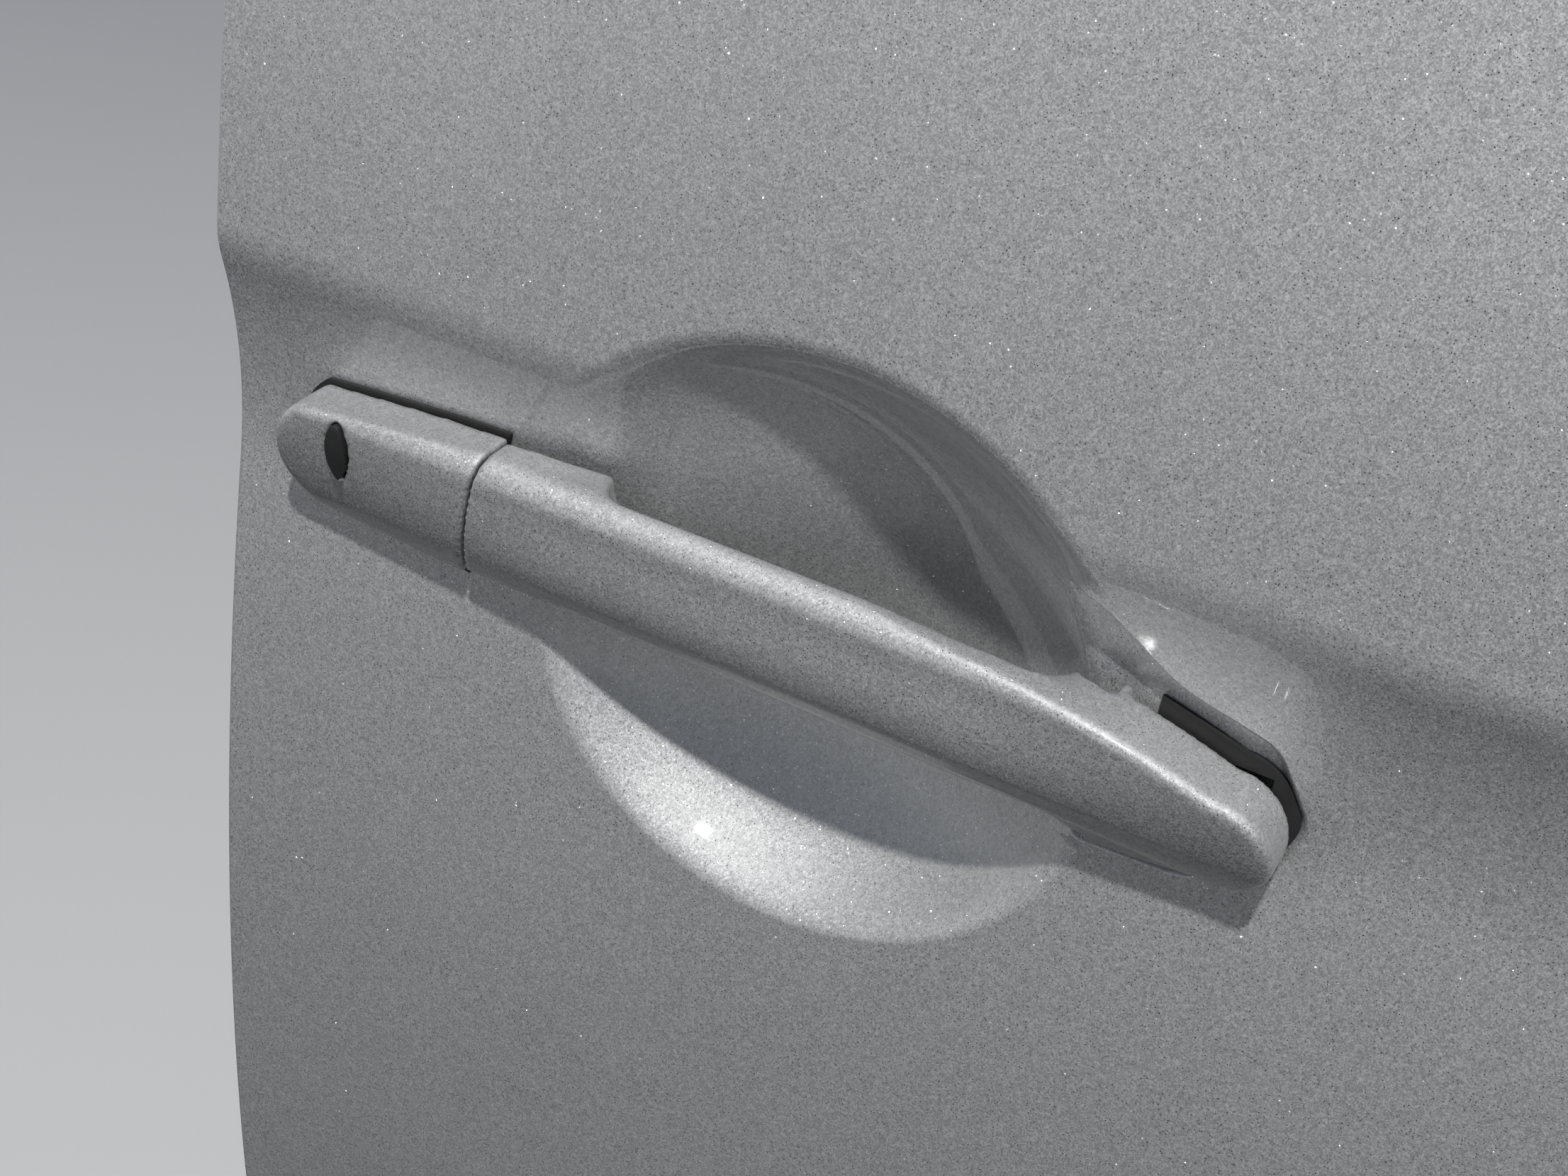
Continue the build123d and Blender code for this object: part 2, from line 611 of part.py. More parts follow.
def glass_run():
    """Rubber channel in the frame that holds the edge of the glass."""
    mid = GLASS_SET_IN + GLASS_T / 2
    fit = FACE_GAP
    slab = window_slab(mid - CHANNEL_HALF + fit, mid + CHANNEL_HALF - fit)
    above = front_view(above_belt(-FRAME_FOOT_DROP + 1))
    ring = slab & front_view(daylight(CHANNEL_DEPTH - fit) - daylight(-RUN_LIP)) & above
    room = window_slab(GLASS_SET_IN - fit, GLASS_SET_IN + GLASS_T + fit)
    return ring - (room & front_view(daylight(CHANNEL_DEPTH - CHANNEL_END + fit)))


def above_belt(rise):
    return belt_band(rise, FRAME_TOP_Z, 0, 0)


def window_glass():
    slab = window_slab(GLASS_SET_IN, GLASS_SET_IN + GLASS_T)
    foot = -FRAME_FOOT_DROP + 1
    tail = belt_band(-GLASS_DROP, foot, REAR_TRIM, FRONT_TRIM)
    pane = daylight(CHANNEL_DEPTH - CHANNEL_END) & above_belt(foot)
    return slab & front_view(pane + tail)


def belt_band(low, high, rear_in, front_in):
    """Front view of a band along the belt line."""
    x0 = REAR_X + rear_in
    x1 = FRONT_X - front_in
    pts = [(x0, belt_z(x0) + low), (x1, belt_z(x1) + low), (x1, belt_z(x1) + high), (x0, belt_z(x0) + high)]
    return make_face(Polyline(*pts, close=True))


def outer_belt_seal():
    """Moulding on the skin's top edge with its lip against the glass."""
    near = -MOULDING_STAND
    end = MOULDING_INSET
    face = skin_slab(near, -FACE_GAP) & front_view(belt_band(-MOULDING_H, MOULDING_RISE, end, end))
    cap = skin_slab(near, SKIN_T + MOULDING_BACK) & front_view(belt_band(FACE_GAP, MOULDING_RISE, end, end))
    lip_zone = front_view(belt_band(FACE_GAP, MOULDING_RISE - LIP_DROP, REAR_TRIM, FRONT_TRIM))
    lip = window_slab(-FRAME_T, GLASS_SET_IN - FACE_GAP) & lip_zone & skin_slab(SKIN_T, AREA_Y[1])
    return face + cap + lip


def handle_outline():
    """Front view of cap and grip together."""
    return make_face([ThreePointArc(*arc) for arc in HANDLE_ARCS])


def handle_section():
    """End view of the handle in y, z."""
    line = [
        Line(*GRIP_TOP),
        ThreePointArc(GRIP_TOP[1], *GRIP_CREST),
        ThreePointArc(GRIP_CREST[1], *GRIP_FACE),
        Line(GRIP_FACE[1], GRIP_UNDER[0]),
        Line(*GRIP_UNDER),
        Line(GRIP_UNDER[1], GRIP_TOP[0]),
    ]
    return make_face(line)


def handle_bar():
    bar = extrude(Plane.YZ * handle_section(), HANDLE_REACH, both=True)
    bar = Rot(0, 0, -HANDLE_YAW) * bar
    bar = bar & front_view(handle_outline())
    return fillet(outline_edges(bar), HANDLE_EDGE_R)


def seam_wedge(gap):
    """Region rearward of the slanted seam, moved back by gap."""
    top = (SEAM_TOP[0] - gap, SEAM_TOP[1])
    low = (SEAM_BOTTOM[0] - gap, SEAM_BOTTOM[1])
    lean = (top[0] - low[0]) / (top[1] - low[1])
    hi = (top[0] + lean * SEAM_REACH, top[1] + SEAM_REACH)
    lo = (low[0] - lean * SEAM_REACH, low[1] - SEAM_REACH)
    return make_face(Polyline(hi, lo, (-FAR, lo[1]), (-FAR, hi[1]), close=True))


def handle_cap():
    bar = handle_bar() - skin_slab(-GASKET_T - FACE_GAP, AREA_Y[1])
    cap = bar & front_view(seam_wedge(SEAM_GAP))
    cap = cap + rod_y(CAP_POST[0], CAP_POST[1], (BUTTON_FLOOR_Y, CAP_POST_END_Y), CAP_POST_R)
    return cap - front_view(button_outline(FACE_GAP), AREA_Y[0], BUTTON_FLOOR_Y)


def button_outline(grow=0.0):
    shape = make_face([
        ThreePointArc(BUTTON_TIP, (BUTTON_HALF_W, 0), BUTTON_TOP),
        ThreePointArc(BUTTON_TOP, (-BUTTON_HALF_W, 0), BUTTON_TIP),
    ])
    shape = fillet(shape.vertices().sort_by(Axis.Y)[-1], BUTTON_TOP_R)
    shape = fillet(shape.vertices().sort_by(Axis.Y)[0], BUTTON_TIP_R)
    return Pos(*BUTTON) * (offset(shape, grow) if grow else shape)


def request_button():
    """Key that stands proud of the cap's face and follows it."""
    proud = Pos(0, -BUTTON_STAND, 0) * handle_bar()
    return front_view(button_outline(), AREA_Y[0], BUTTON_FLOOR_Y - FACE_GAP) & proud


def cap_gasket():
    outline = offset(handle_outline(), GASKET_EDGE) & seam_wedge(0)
    slab = skin_slab(-GASKET_T, -FACE_GAP)
    holes = rod_y(CAP_POST[0], CAP_POST[1], HOLE_Y, CAP_POST_R + FACE_GAP)
    holes = holes + block(ARM_HOLE[0], HOLE_Y, ARM_HOLE[1])
    bowl = front_view(Pos(BOWL_X, BOWL_Z) * Circle(BOWL_R + BOWL_MARGIN))
    return (slab & front_view(outline)) - holes - bowl


def grip_gasket():
    """Rubber seat on the pocket's floor, under the grip's front end."""
    front = block((GASKET_BACK_X, FAR), (-FAR, FAR), (-FAR, FAR))
    outline = offset(handle_outline(), GASKET_RIM) & pocket_outline(-FACE_GAP)
    pad = front_view(outline, GASKET_FACE_Y, POCKET_FLOOR_Y - FACE_GAP)
    return (pad & front) - block(HOOK_HOLE[0], HOLE_Y, HOOK_HOLE[1])


def handle_grip():
    bar = handle_bar() - front_view(seam_wedge(0))
    bar = bar - block((-FAR, GRIP_FOOT_X), (GRIP_BACK_Y, FAR), (-FAR, FAR))
    bar = bar - block((GRIP_FOOT_X, FAR), (GASKET_FACE_Y - FOOT_STAND, FAR), (-FAR, FAR))
    rim = front_view(handle_outline() - offset(handle_outline(), -FOOT_INSET), FOOT_TOP_Y, FAR)
    bar = bar - (rim & block((GRIP_FOOT_X + FOOT_INSET, FAR), (-FAR, FAR), (-FAR, FAR)))
    scoop = Pos(SCOOP_X, SCOOP_Y, SCOOP_Z) * Rot(0, 90, 0) * Cylinder(SCOOP_R, SCOOP_LEN)
    scoop = fillet(scoop.edges(), SCOOP_R * SCOOP_END)
    bar = bar - scoop
    x1, y1 = GRIP_PIVOT
    half = (-HOOK_HALF, HOOK_HALF)
    hook_y = (y1 - HOOK_T / 2, y1 + HOOK_T / 2)
    hook = block(HOOK_X, (GRIP_BACK_Y, hook_y[1]), half) + block((HOOK_X[0], x1), hook_y, half)
    hook = hook + post(x1, y1, half, HOOK_EYE_R)
    pin = post(x1, y1, (-GRIP_PIN_HALF, GRIP_PIN_HALF), GRIP_PIN_R)
    arm = block(ARM_X, (2 * GRIP_BACK_Y, ARM_END_Y), ARM_Z)
    return bar + hook + pin + arm


def handle_bracket():
    """Carrier behind the skin: pivot cradle in front, cap and pull-arm housing behind."""
    x1, y1 = GRIP_PIVOT
    room_x = HOOK_X[0] - CRADLE_CLEAR
    cheek_y = (y1 + CRADLE_Y[0], y1 + CRADLE_Y[1])
    end_x = x1 + CRADLE_END
    span = (-CRADLE_HALF, CRADLE_HALF)
    cheeks = block((room_x, end_x), cheek_y, span)
    cheeks = cheeks - block((room_x, end_x + 1), (0, y1 + WELL_Y), (-WELL_HALF, WELL_HALF))
    cheeks = cheeks - post(x1, y1, (-FAR, FAR), GRIP_PIN_R + PIN_PLAY)
    bridge_y = BOWL_DEPTH + SKIN_T + BRIDGE_GAP
    back_y = bridge_y + BRACKET_T
    tie = block((room_x - BRACKET_T, room_x), (cheek_y[0], back_y), span)
    bridge_x = (ARM_HOLE[0][0] - CRADLE_CLEAR, room_x)
    bridge = block(bridge_x, (bridge_y, back_y), (-BRIDGE_HALF, BRIDGE_HALF))
    rear_x = (CAP_POST[0] - HOUSING_X, BOWL_X - BOWL_R - HOUSING_BOWL_GAP)
    rear = block(rear_x, (HOUSING_NEAR_Y, back_y), HOUSING_Z)
    rear = rear - rod_y(CAP_POST[0], CAP_POST[1], (0, FAR), CAP_POST_R + POST_PLAY)
    room, room_y, room_z = HOUSING_ROOM
    rear = rear - block((CAP_POST[0] + room[0], ARM_HOLE[0][0] + room[1]), (room_y, FAR), room_z)
    return cheeks + tie + bridge + rear - block(ARM_HOLE[0], (0, FAR), ARM_HOLE[1])


def hinge_door_leaf(z):
    wall_x = FRONT_X - DEEP_INSET
    plate_y = (STEP_Y + SEAL_H + 1, DEEP_Y - 2)
    plate = block((wall_x, wall_x + LEAF_T), plate_y, (z - LEAF_HALF, z + LEAF_HALF))
    plate = fillet(plate.edges().filter_by(Axis.X), DOOR_LEAF_R)
    knuckle_z = (z - KNUCKLE_HALF, z + KNUCKLE_HALF)
    arm = block((wall_x, PIN_X), (PIN_Y - ARM_HALF, PIN_Y + ARM_HALF), knuckle_z)
    solid = plate + arm + post(PIN_X, PIN_Y, knuckle_z, KNUCKLE_R)
    hexagon = extrude(RegularPolygon(HEAD_R, 6), HEAD_H)
    for side in (-1, 1):
        bolt_z = z + side * (BOLT_SPACING / 2 + HEAD_OUT)
        solid = solid + Pos(wall_x + LEAF_T, PIN_Y, bolt_z) * Rot(0, 90, 0) * hexagon
    return solid - post(PIN_X, PIN_Y, (z - LEAF_HALF, z + LEAF_HALF), PIN_R + PIN_PLAY)


def hinge_body_leaf(z):
    x0 = PIN_X + LEAF_OFFSET
    plate = block((x0, x0 + LEAF_LEN), (LEAF_FACE_Y - LEAF_T, LEAF_FACE_Y), (z - LEAF_HALF, z + LEAF_HALF))
    solid = fillet(plate.edges().filter_by(Axis.Y), LEAF_CORNER_R)
    for side in (-1, 1):
        near = z + side * (KNUCKLE_HALF + EAR_GAP)
        far = near + side * EAR_T
        span = (min(near, far), max(near, far))
        arm_y = (PIN_Y - EAR_ARM_HALF, LEAF_FACE_Y - LEAF_T + 1)
        solid = solid + post(PIN_X, PIN_Y, span, KNUCKLE_R)
        solid = solid + block((PIN_X, x0 + EAR_ARM_END), arm_y, span)
        bolt_z = z + side * BOLT_SPACING / 2
        solid = solid - rod_y(HINGE_BOLT_X, bolt_z, (PIN_Y - KNUCKLE_R, LEAF_FACE_Y + 1), BOLT_R)
    pin_half = KNUCKLE_HALF + EAR_GAP + EAR_T + PIN_STAND
    return solid + post(PIN_X, PIN_Y, (z - pin_half, z + pin_half), PIN_R)


def check_arm():
    wall_x = FRONT_X - DEEP_INSET
    thick, wide, half = CHECK_PLATE
    arm_y, arm_z = CHECK_ARM_HALF
    span = (CHECK_Z - arm_z, CHECK_Z + arm_z)
    plate_y = (PIN_Y + wide[0], PIN_Y + wide[1])
    plate = block((wall_x, wall_x + thick), plate_y, (CHECK_Z - half, CHECK_Z + half))
    plate = fillet(plate.edges().filter_by(Axis.X), thick)
    arm = block((wall_x + thick, CHECK_EYE_X), (PIN_Y - arm_y, PIN_Y + arm_y), span)
    eye = post(CHECK_EYE_X, PIN_Y, span, CHECK_EYE_RIM)
    return plate + arm + eye - post(CHECK_EYE_X, PIN_Y, span, CHECK_EYE_R)


def latch():
    """Case with the striker's mouth through it and the claw round the mouth."""
    x0 = REAR_X + STEP_INSET + PANEL_T + FACE_GAP
    y1 = STEP_Y - PANEL_T - FACE_GAP
    mouth_y = LATCH_MOUTH_Y[0]
    case_z = (LATCH_Z - LATCH_HALF, LATCH_Z + LATCH_HALF)
    body = block((x0, x0 + LATCH_DEPTH), (mouth_y - LATCH_NEAR, y1), case_z)
    body = fillet(body.edges().filter_by(Axis.X), PANEL_MOUTH_GAP)
    end_x = REAR_X + STEP_INSET + LATCH_MOUTH_DEPTH
    mouth = block((REAR_X, end_x), (mouth_y, y1 + 1), (LATCH_Z - MOUTH_HALF, LATCH_Z + MOUTH_HALF))
    throat = Rot(0, 90, 0) * Cylinder(MOUTH_HALF, end_x - REAR_X)
    throat = Pos((REAR_X + end_x) / 2, mouth_y, LATCH_Z) * throat
    claw_at = Pos(x0 + CLAW_SET_IN, mouth_y - PANEL_MOUTH_GAP, LATCH_Z) * Rot(0, 90, 0)
    claw = claw_at * Cylinder(CLAW_R, CLAW_T)
    slot_y = (mouth_y - CLAW_R / 2, y1)
    claw = claw - block((REAR_X, end_x), slot_y, (LATCH_Z - CLAW_SLOT, LATCH_Z + CLAW_SLOT))
    return body - mouth - throat + claw


def door_seal():
    """Rubber bulb on the land, with its upper run on the window frame."""
    outer = door_outline(DEEP_INSET - SEAL_OUT, PANEL_TOP_DROP + SEAL_TOP_DROP)
    inner = door_outline(DEEP_INSET - SEAL_IN, -2 * PANEL_TOP_DROP)
    ring = front_view(outer - inner, STEP_Y + FACE_GAP, STEP_Y + SEAL_H)
    upper = window_slab(FRAME_T + FACE_GAP, FRAME_T + SEAL_FRAME_H)
    loop = offset(frame_outline(), -SEAL_FRAME_X[0], kind=Kind.INTERSECTION)
    hole = offset(frame_outline(), -SEAL_FRAME_X[1], kind=Kind.INTERSECTION)
    hole = hole + Pos(0, -2 * SEAL_FRAME_X[1]) * hole
    return ring + (upper & front_view((loop - hole) & above_belt(SEAL_TOP_DROP - PANEL_TOP_DROP)))


def trim_outline(grow=0.0):
    return door_outline(TRIM_INSET - grow, TRIM_DROP - grow)


def inboard_edges(solid):
    """Edges round the face that looks into the cabin."""
    return solid.faces().sort_by(Axis.Y)[-1].edges()


def trim_panel():
    """Moulded panel with its edge turned back, and openings for the inner handle and the speaker."""
    y0 = DEEP_Y + TRIM_GAP
    outer = front_view(trim_outline(), y0, TRIM_Y)
    outer = fillet(inboard_edges(outer), TRIM_EDGE_R)
    inner = front_view(trim_outline(-TRIM_T), y0 - TRIM_T, TRIM_Y - TRIM_T)
    inner = fillet(inboard_edges(inner), TRIM_EDGE_R - TRIM_T)
    cuts = rounded(*HANDLE_BEZEL, BEZEL_R) + Pos(*SPEAKER) * Circle(SPEAKER_R)
    return outer - inner - front_view(cuts, (DEEP_Y + TRIM_Y) / 2, FAR)


def shoulder():
    """Upper pad between the glass slot and the trim."""
    x0 = REAR_X + TRIM_INSET
    x1 = FRONT_X - FRONT_TRIM
    rise = belt_z(x1) - belt_z(x0)
    low = FACE_GAP - TRIM_DROP
    back, back_z, back_end = SHOULDER_BACK
    pts = [
        (SHOULDER_Y, low),
        (SHOULDER_Y, SHOULDER_LIP),
        (SHOULDER_Y + SHOULDER_RUN[0], SHOULDER_RUN[1]),
        (TRIM_Y - back, back_z),
        (TRIM_Y - back_end, low),
    ]
    face = make_face(FilletPolyline(*pts, radius=list(SHOULDER_RADII), close=True))
    face = Pos(x0, 0, belt_z(x0)) * (Plane.YZ * face)
    return extrude(face, math.hypot(x1 - x0, rise), dir=(x1 - x0, 0, rise))


def inner_belt_seal():
    slab = window_slab(GLASS_SET_IN + GLASS_T + FACE_GAP, AREA_Y[1])
    band = front_view(belt_band(*BELT_SEAL, REAR_TRIM, FRONT_TRIM), AREA_Y[0], SHOULDER_Y - FACE_GAP)
    return slab & band


def trim_insert():
    return front_view(rounded(INSERT_X, INSERT_Z, INSERT_R), TRIM_Y + TRIM_GAP, TRIM_Y + PAD_STAND)


def armrest():
    """Tapered rest with a pull cup and a seat for the switches."""
    y0 = TRIM_Y + TRIM_GAP
    x0, x1 = ARMREST_X
    pts = [(x0, y0), (x1, y0), (x1 - ARMREST_TAPER[1], ARMREST_Y), (x0 + ARMREST_TAPER[0], ARMREST_Y)]
    plan = make_face(Polyline(*pts, close=True))
    plan = fillet(plan.vertices().group_by(Axis.Y)[-1], ARMREST_NOSE_R)
    solid = extrude(Pos(0, 0, ARMREST_Z[0]) * plan, ARMREST_Z[1] - ARMREST_Z[0])
    rims = solid.edges().group_by(Axis.Z)[-1] + solid.edges().group_by(Axis.Z)[0]
    solid = fillet(rims.filter_by(lambda e: e.center().Y > y0 + 1), ARMREST_EDGE_R)
    cup = extrude(Pos(0, 0, ARMREST_Z[0] + CUP_FLOOR) * plan_rounded(CUP_X, CUP_Y, CUP_R), FAR)
    pad = extrude(Pos(0, 0, ARMREST_Z[1] - SWITCH_SINK) * plan_rounded(SWITCH_X, SWITCH_Y, SWITCH_R), FAR)
    return solid - cup - pad


def plan_rounded(x, y, radius):
    return Pos((x[0] + x[1]) / 2, (y[0] + y[1]) / 2) * RectangleRounded(x[1] - x[0], y[1] - y[0], radius)


def switch_panel():
    """Plate sunk in the armrest, with a row of window switches."""
    gap = FACE_GAP
    x, y = SWITCH_X, SWITCH_Y
    plate = plan_rounded((x[0] + gap, x[1] - gap), (y[0] + gap, y[1] - gap), SWITCH_R - gap)
    z0 = ARMREST_Z[1] - SWITCH_SINK + gap
    solid = extrude(Pos(0, 0, z0) * plate, SWITCH_SINK + PLATE_STAND)
    key = fillet(Box(*KEY_SIZE).edges(), KEY_EDGE_R)
    for k in range(SWITCHES):
        key_x = x[0] + KEY_START + k * KEY_PITCH
        solid = solid + Pos(key_x, (y[0] + y[1]) / 2, z0 + SWITCH_SINK + KEY_STAND) * key
    return solid


def handle_bezel():
    """Dished surround of the inner handle."""
    x, z = HANDLE_BEZEL
    gap = FACE_GAP
    rim = BEZEL_RIM
    outline = rounded((x[0] + gap, x[1] - gap), (z[0] + gap, z[1] - gap), BEZEL_R - gap)
    mouth = rounded((x[0] + rim, x[1] - rim), (z[0] + rim, z[1] - rim), BEZEL_R - rim)
    outer = front_view(outline, DEEP_Y + BEZEL_DEPTH[0], TRIM_Y + BEZEL_STAND)
    return outer - front_view(mouth, DEEP_Y + BEZEL_DEPTH[1], FAR)


def inner_handle():
    x, z = HANDLE_BEZEL
    mid = (z[0] + z[1]) / 2
    lever_x = (x[0] + LEVER_END[0], x[1] - LEVER_END[1])
    plate = rounded(lever_x, (mid - LEVER_HALF, mid + LEVER_HALF), LEVER_CORNER_R)
    lever = front_view(plate, TRIM_Y + LEVER_Y[0], TRIM_Y + LEVER_Y[1])
    lever = fillet(inboard_edges(lever), LEVER_EDGE_R)
    root_y = (DEEP_Y + BEZEL_DEPTH[1] + FACE_GAP, TRIM_Y + LEVER_Y[0] + 1)
    root_x = (x[1] - LEVER_ROOT[0], x[1] - LEVER_ROOT[1])
    root = block(root_x, root_y, (mid - LEVER_ROOT[2], mid + LEVER_ROOT[2]))
    return lever + root


def speaker_grille():
    """Shallow cap with a row of level slots."""
    dome = rod_y(SPEAKER[0], SPEAKER[1], (TRIM_Y + GRILLE_Y[0], TRIM_Y + GRILLE_Y[1]), SPEAKER_R - FACE_GAP)
    dome = fillet(inboard_edges(dome), GRILLE_WALL)
    back_y = (TRIM_Y + GRILLE_BACK[0], TRIM_Y + GRILLE_BACK[1])
    back = rod_y(SPEAKER[0], SPEAKER[1], back_y, SPEAKER_R - GRILLE_WALL)
    slots = Sketch()
    for k in range(GRILLE_SLOTS):
        rise = (k - (GRILLE_SLOTS - 1) / 2) * GRILLE_PITCH
        half = math.sqrt((SPEAKER_R - GRILLE_BORDER) ** 2 - rise ** 2)
        slots = slots + Pos(SPEAKER[0], SPEAKER[1] + rise) * SlotOverall(2 * half, GRILLE_SLOT)
    return dome - back - front_view(slots, TRIM_Y, FAR)


def map_pocket():
    y0 = TRIM_Y + TRIM_GAP
    x, z = POCKET_X, POCKET_Z
    wall = POCKET_WALL
    outer = front_view(rounded(x, z, POCKET_R), y0, POCKET_Y)
    outer = fillet(inboard_edges(outer), POCKET_EDGE_R)
    room = rounded((x[0] + wall, x[1] - wall), (z[0] + wall, z[1] + 2 * POCKET_R), POCKET_R - wall)
    mouth = block((x[0] - 1, x[1] + 1), (TRIM_Y, POCKET_Y + 1), (z[1] - POCKET_MOUTH, z[1] + 1))
    return outer - front_view(room, y0 + POCKET_BACK, POCKET_Y - wall) - mouth


def sail_cover():
    """Black corner piece in the front of the window, outside the frame's lower leg."""
    slab = window_slab(GLASS_SET_IN + SAIL_Y[0], GLASS_SET_IN + SAIL_Y[1])
    corner = belt_band(COVER_LIFT, FRAME_TOP_Z, SAIL_X - REAR_X, 0)
    return slab & front_view(corner & daylight(-FACE_GAP))


def pillar_cover():
    """Gloss black strip on the frame's rear upright."""
    rear_in = FRAME_REAR_INSET + COVER_INSET
    front_in = FRONT_X - REAR_X - FRAME_REAR_INSET - FRAME_W + 2 * COVER_INSET
    strip = belt_band(COVER_LIFT, FRAME_TOP_Z, rear_in, front_in)
    strip = strip & offset(frame_outline(), -COVER_INSET)
    return window_slab(-FACE_GAP - COVER_T, -FACE_GAP) & front_view(strip)


PARTS = {
    "outer_skin": outer_skin,
    "inner_panel": inner_panel,
    "window_frame": window_frame,
    "window_glass": window_glass,
    "glass_run": glass_run,
    "outer_belt_seal": outer_belt_seal,
    "inner_belt_seal": inner_belt_seal,
    "pillar_cover": pillar_cover,
    "sail_cover": sail_cover,
    "door_seal": door_seal,
    "upper_hinge_door_leaf": lambda: hinge_door_leaf(UPPER_HINGE_Z),
    "lower_hinge_door_leaf": lambda: hinge_door_leaf(LOWER_HINGE_Z),
    "upper_hinge_body_leaf": lambda: hinge_body_leaf(UPPER_HINGE_Z),
    "lower_hinge_body_leaf": lambda: hinge_body_leaf(LOWER_HINGE_Z),
    "check_arm": check_arm,
    "latch": latch,
    "handle_bracket": handle_bracket,
    "handle_cap": handle_cap,
    "request_button": request_button,
    "cap_gasket": cap_gasket,
    "grip_gasket": grip_gasket,
    "handle_grip": handle_grip,
    "trim_panel": trim_panel,
    "trim_shoulder": shoulder,
    "trim_insert": trim_insert,
    "armrest": armrest,
    "switch_panel": switch_panel,
    "inner_handle_bezel": handle_bezel,
    "inner_handle": inner_handle,
    "speaker_grille": speaker_grille,
    "map_pocket": map_pocket,
}

os.makedirs("parts", exist_ok=True)
for node, make in PARTS.items():
    solid = make()
    export_step(TO_ROW * solid, f"parts/{node}.step")
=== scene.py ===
import math

import bpy
import numpy as np
from mathutils import Matrix, Vector
from mathutils.geometry import delaunay_2d_cdt


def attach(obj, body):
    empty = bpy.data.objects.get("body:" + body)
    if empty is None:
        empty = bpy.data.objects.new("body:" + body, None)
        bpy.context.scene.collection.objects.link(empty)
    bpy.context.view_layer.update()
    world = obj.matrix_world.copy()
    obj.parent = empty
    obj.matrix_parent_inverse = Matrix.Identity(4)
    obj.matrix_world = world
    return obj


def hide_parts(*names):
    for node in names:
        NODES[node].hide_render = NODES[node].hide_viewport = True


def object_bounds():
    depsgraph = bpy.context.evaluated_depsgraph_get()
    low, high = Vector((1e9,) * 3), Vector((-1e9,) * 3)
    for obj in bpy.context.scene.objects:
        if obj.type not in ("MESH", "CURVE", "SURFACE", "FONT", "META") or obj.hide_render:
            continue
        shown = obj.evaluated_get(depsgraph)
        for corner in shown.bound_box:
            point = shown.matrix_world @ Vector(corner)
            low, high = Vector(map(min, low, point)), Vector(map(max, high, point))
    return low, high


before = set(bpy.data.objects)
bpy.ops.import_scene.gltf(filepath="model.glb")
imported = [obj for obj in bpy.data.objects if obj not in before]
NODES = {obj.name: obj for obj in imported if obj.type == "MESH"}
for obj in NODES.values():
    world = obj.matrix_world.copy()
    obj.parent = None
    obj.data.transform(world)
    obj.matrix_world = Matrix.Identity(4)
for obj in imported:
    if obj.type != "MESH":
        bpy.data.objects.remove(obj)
cad_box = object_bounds()

MM = 0.001
HANDLE = Vector((-0.957, -0.098, -0.020))   # middle of the outside handle, in the row frame

# Camera, as it stood for the photograph, from the middle of the handle
CAMERA_AT = Vector((0.1776, -0.4063, 0.2845))
CAMERA_RIGHT = Vector((0.8790, 0.4600, 0.1254))
CAMERA_UP = Vector((-0.3406, 0.4219, 0.8402))
CAMERA_BACK = Vector((0.3336, -0.7813, 0.5275))
SENSOR = 36.0
LENS = 56.23

# Light: one lamp high above the handle's side, and a soft surround, brightest at the horizon
KEY_TOWARDS = Vector((0.173, -0.470, 0.866))
KEY_DISTANCE = 3.0
KEY_SIZE = 0.12
KEY_POWER = 112.0
KEY_COLOUR = (1.0, 0.985, 0.96)
SIDE_FROM = (-0.6, 0.1)      # directions towards the rear and towards the front, as x
SIDE_LIGHT = (1.2, 0.86)     # the surround's strength in them
SURROUND = [                 # colour by the sine of the height above the horizon
    (-1.0, (0.005, 0.005, 0.005)),
    (-0.8, (0.008, 0.008, 0.008)),
    (-0.6, (0.02, 0.02, 0.02)),
    (-0.42, (0.10, 0.10, 0.10)),
    (-0.25, (0.48, 0.49, 0.49)),
    (0.0, (0.80, 0.81, 0.82)),
    (0.2, (0.30, 0.33, 0.37)),
    (0.5, (0.10, 0.12, 0.165)),
    (1.0, (0.06, 0.08, 0.12)),
]
FLOOR_SIZE, FLOOR_GAP = 8.0, 0.004

# Metallic paint: cells of grain and of flakes, in metres, and how far each tilts
GRAIN_SIZE, GRAIN_TILT = 0.00028, 0.22
FLAKE_SIZE, FLAKE_TILT, FLAKE_SHARE_LEFT_OUT = 0.0008, 1.25, 0.2
FLAKE_EDGE = (0.16, 0.22)    # a flake fades out between these distances from its middle
PAINT_ROUGHNESS, FLAKE_ROUGHNESS = 0.7, 0.17


def tree_of(owner):
    owner.use_nodes = True
    owner.node_tree.nodes.clear()
    return owner.node_tree


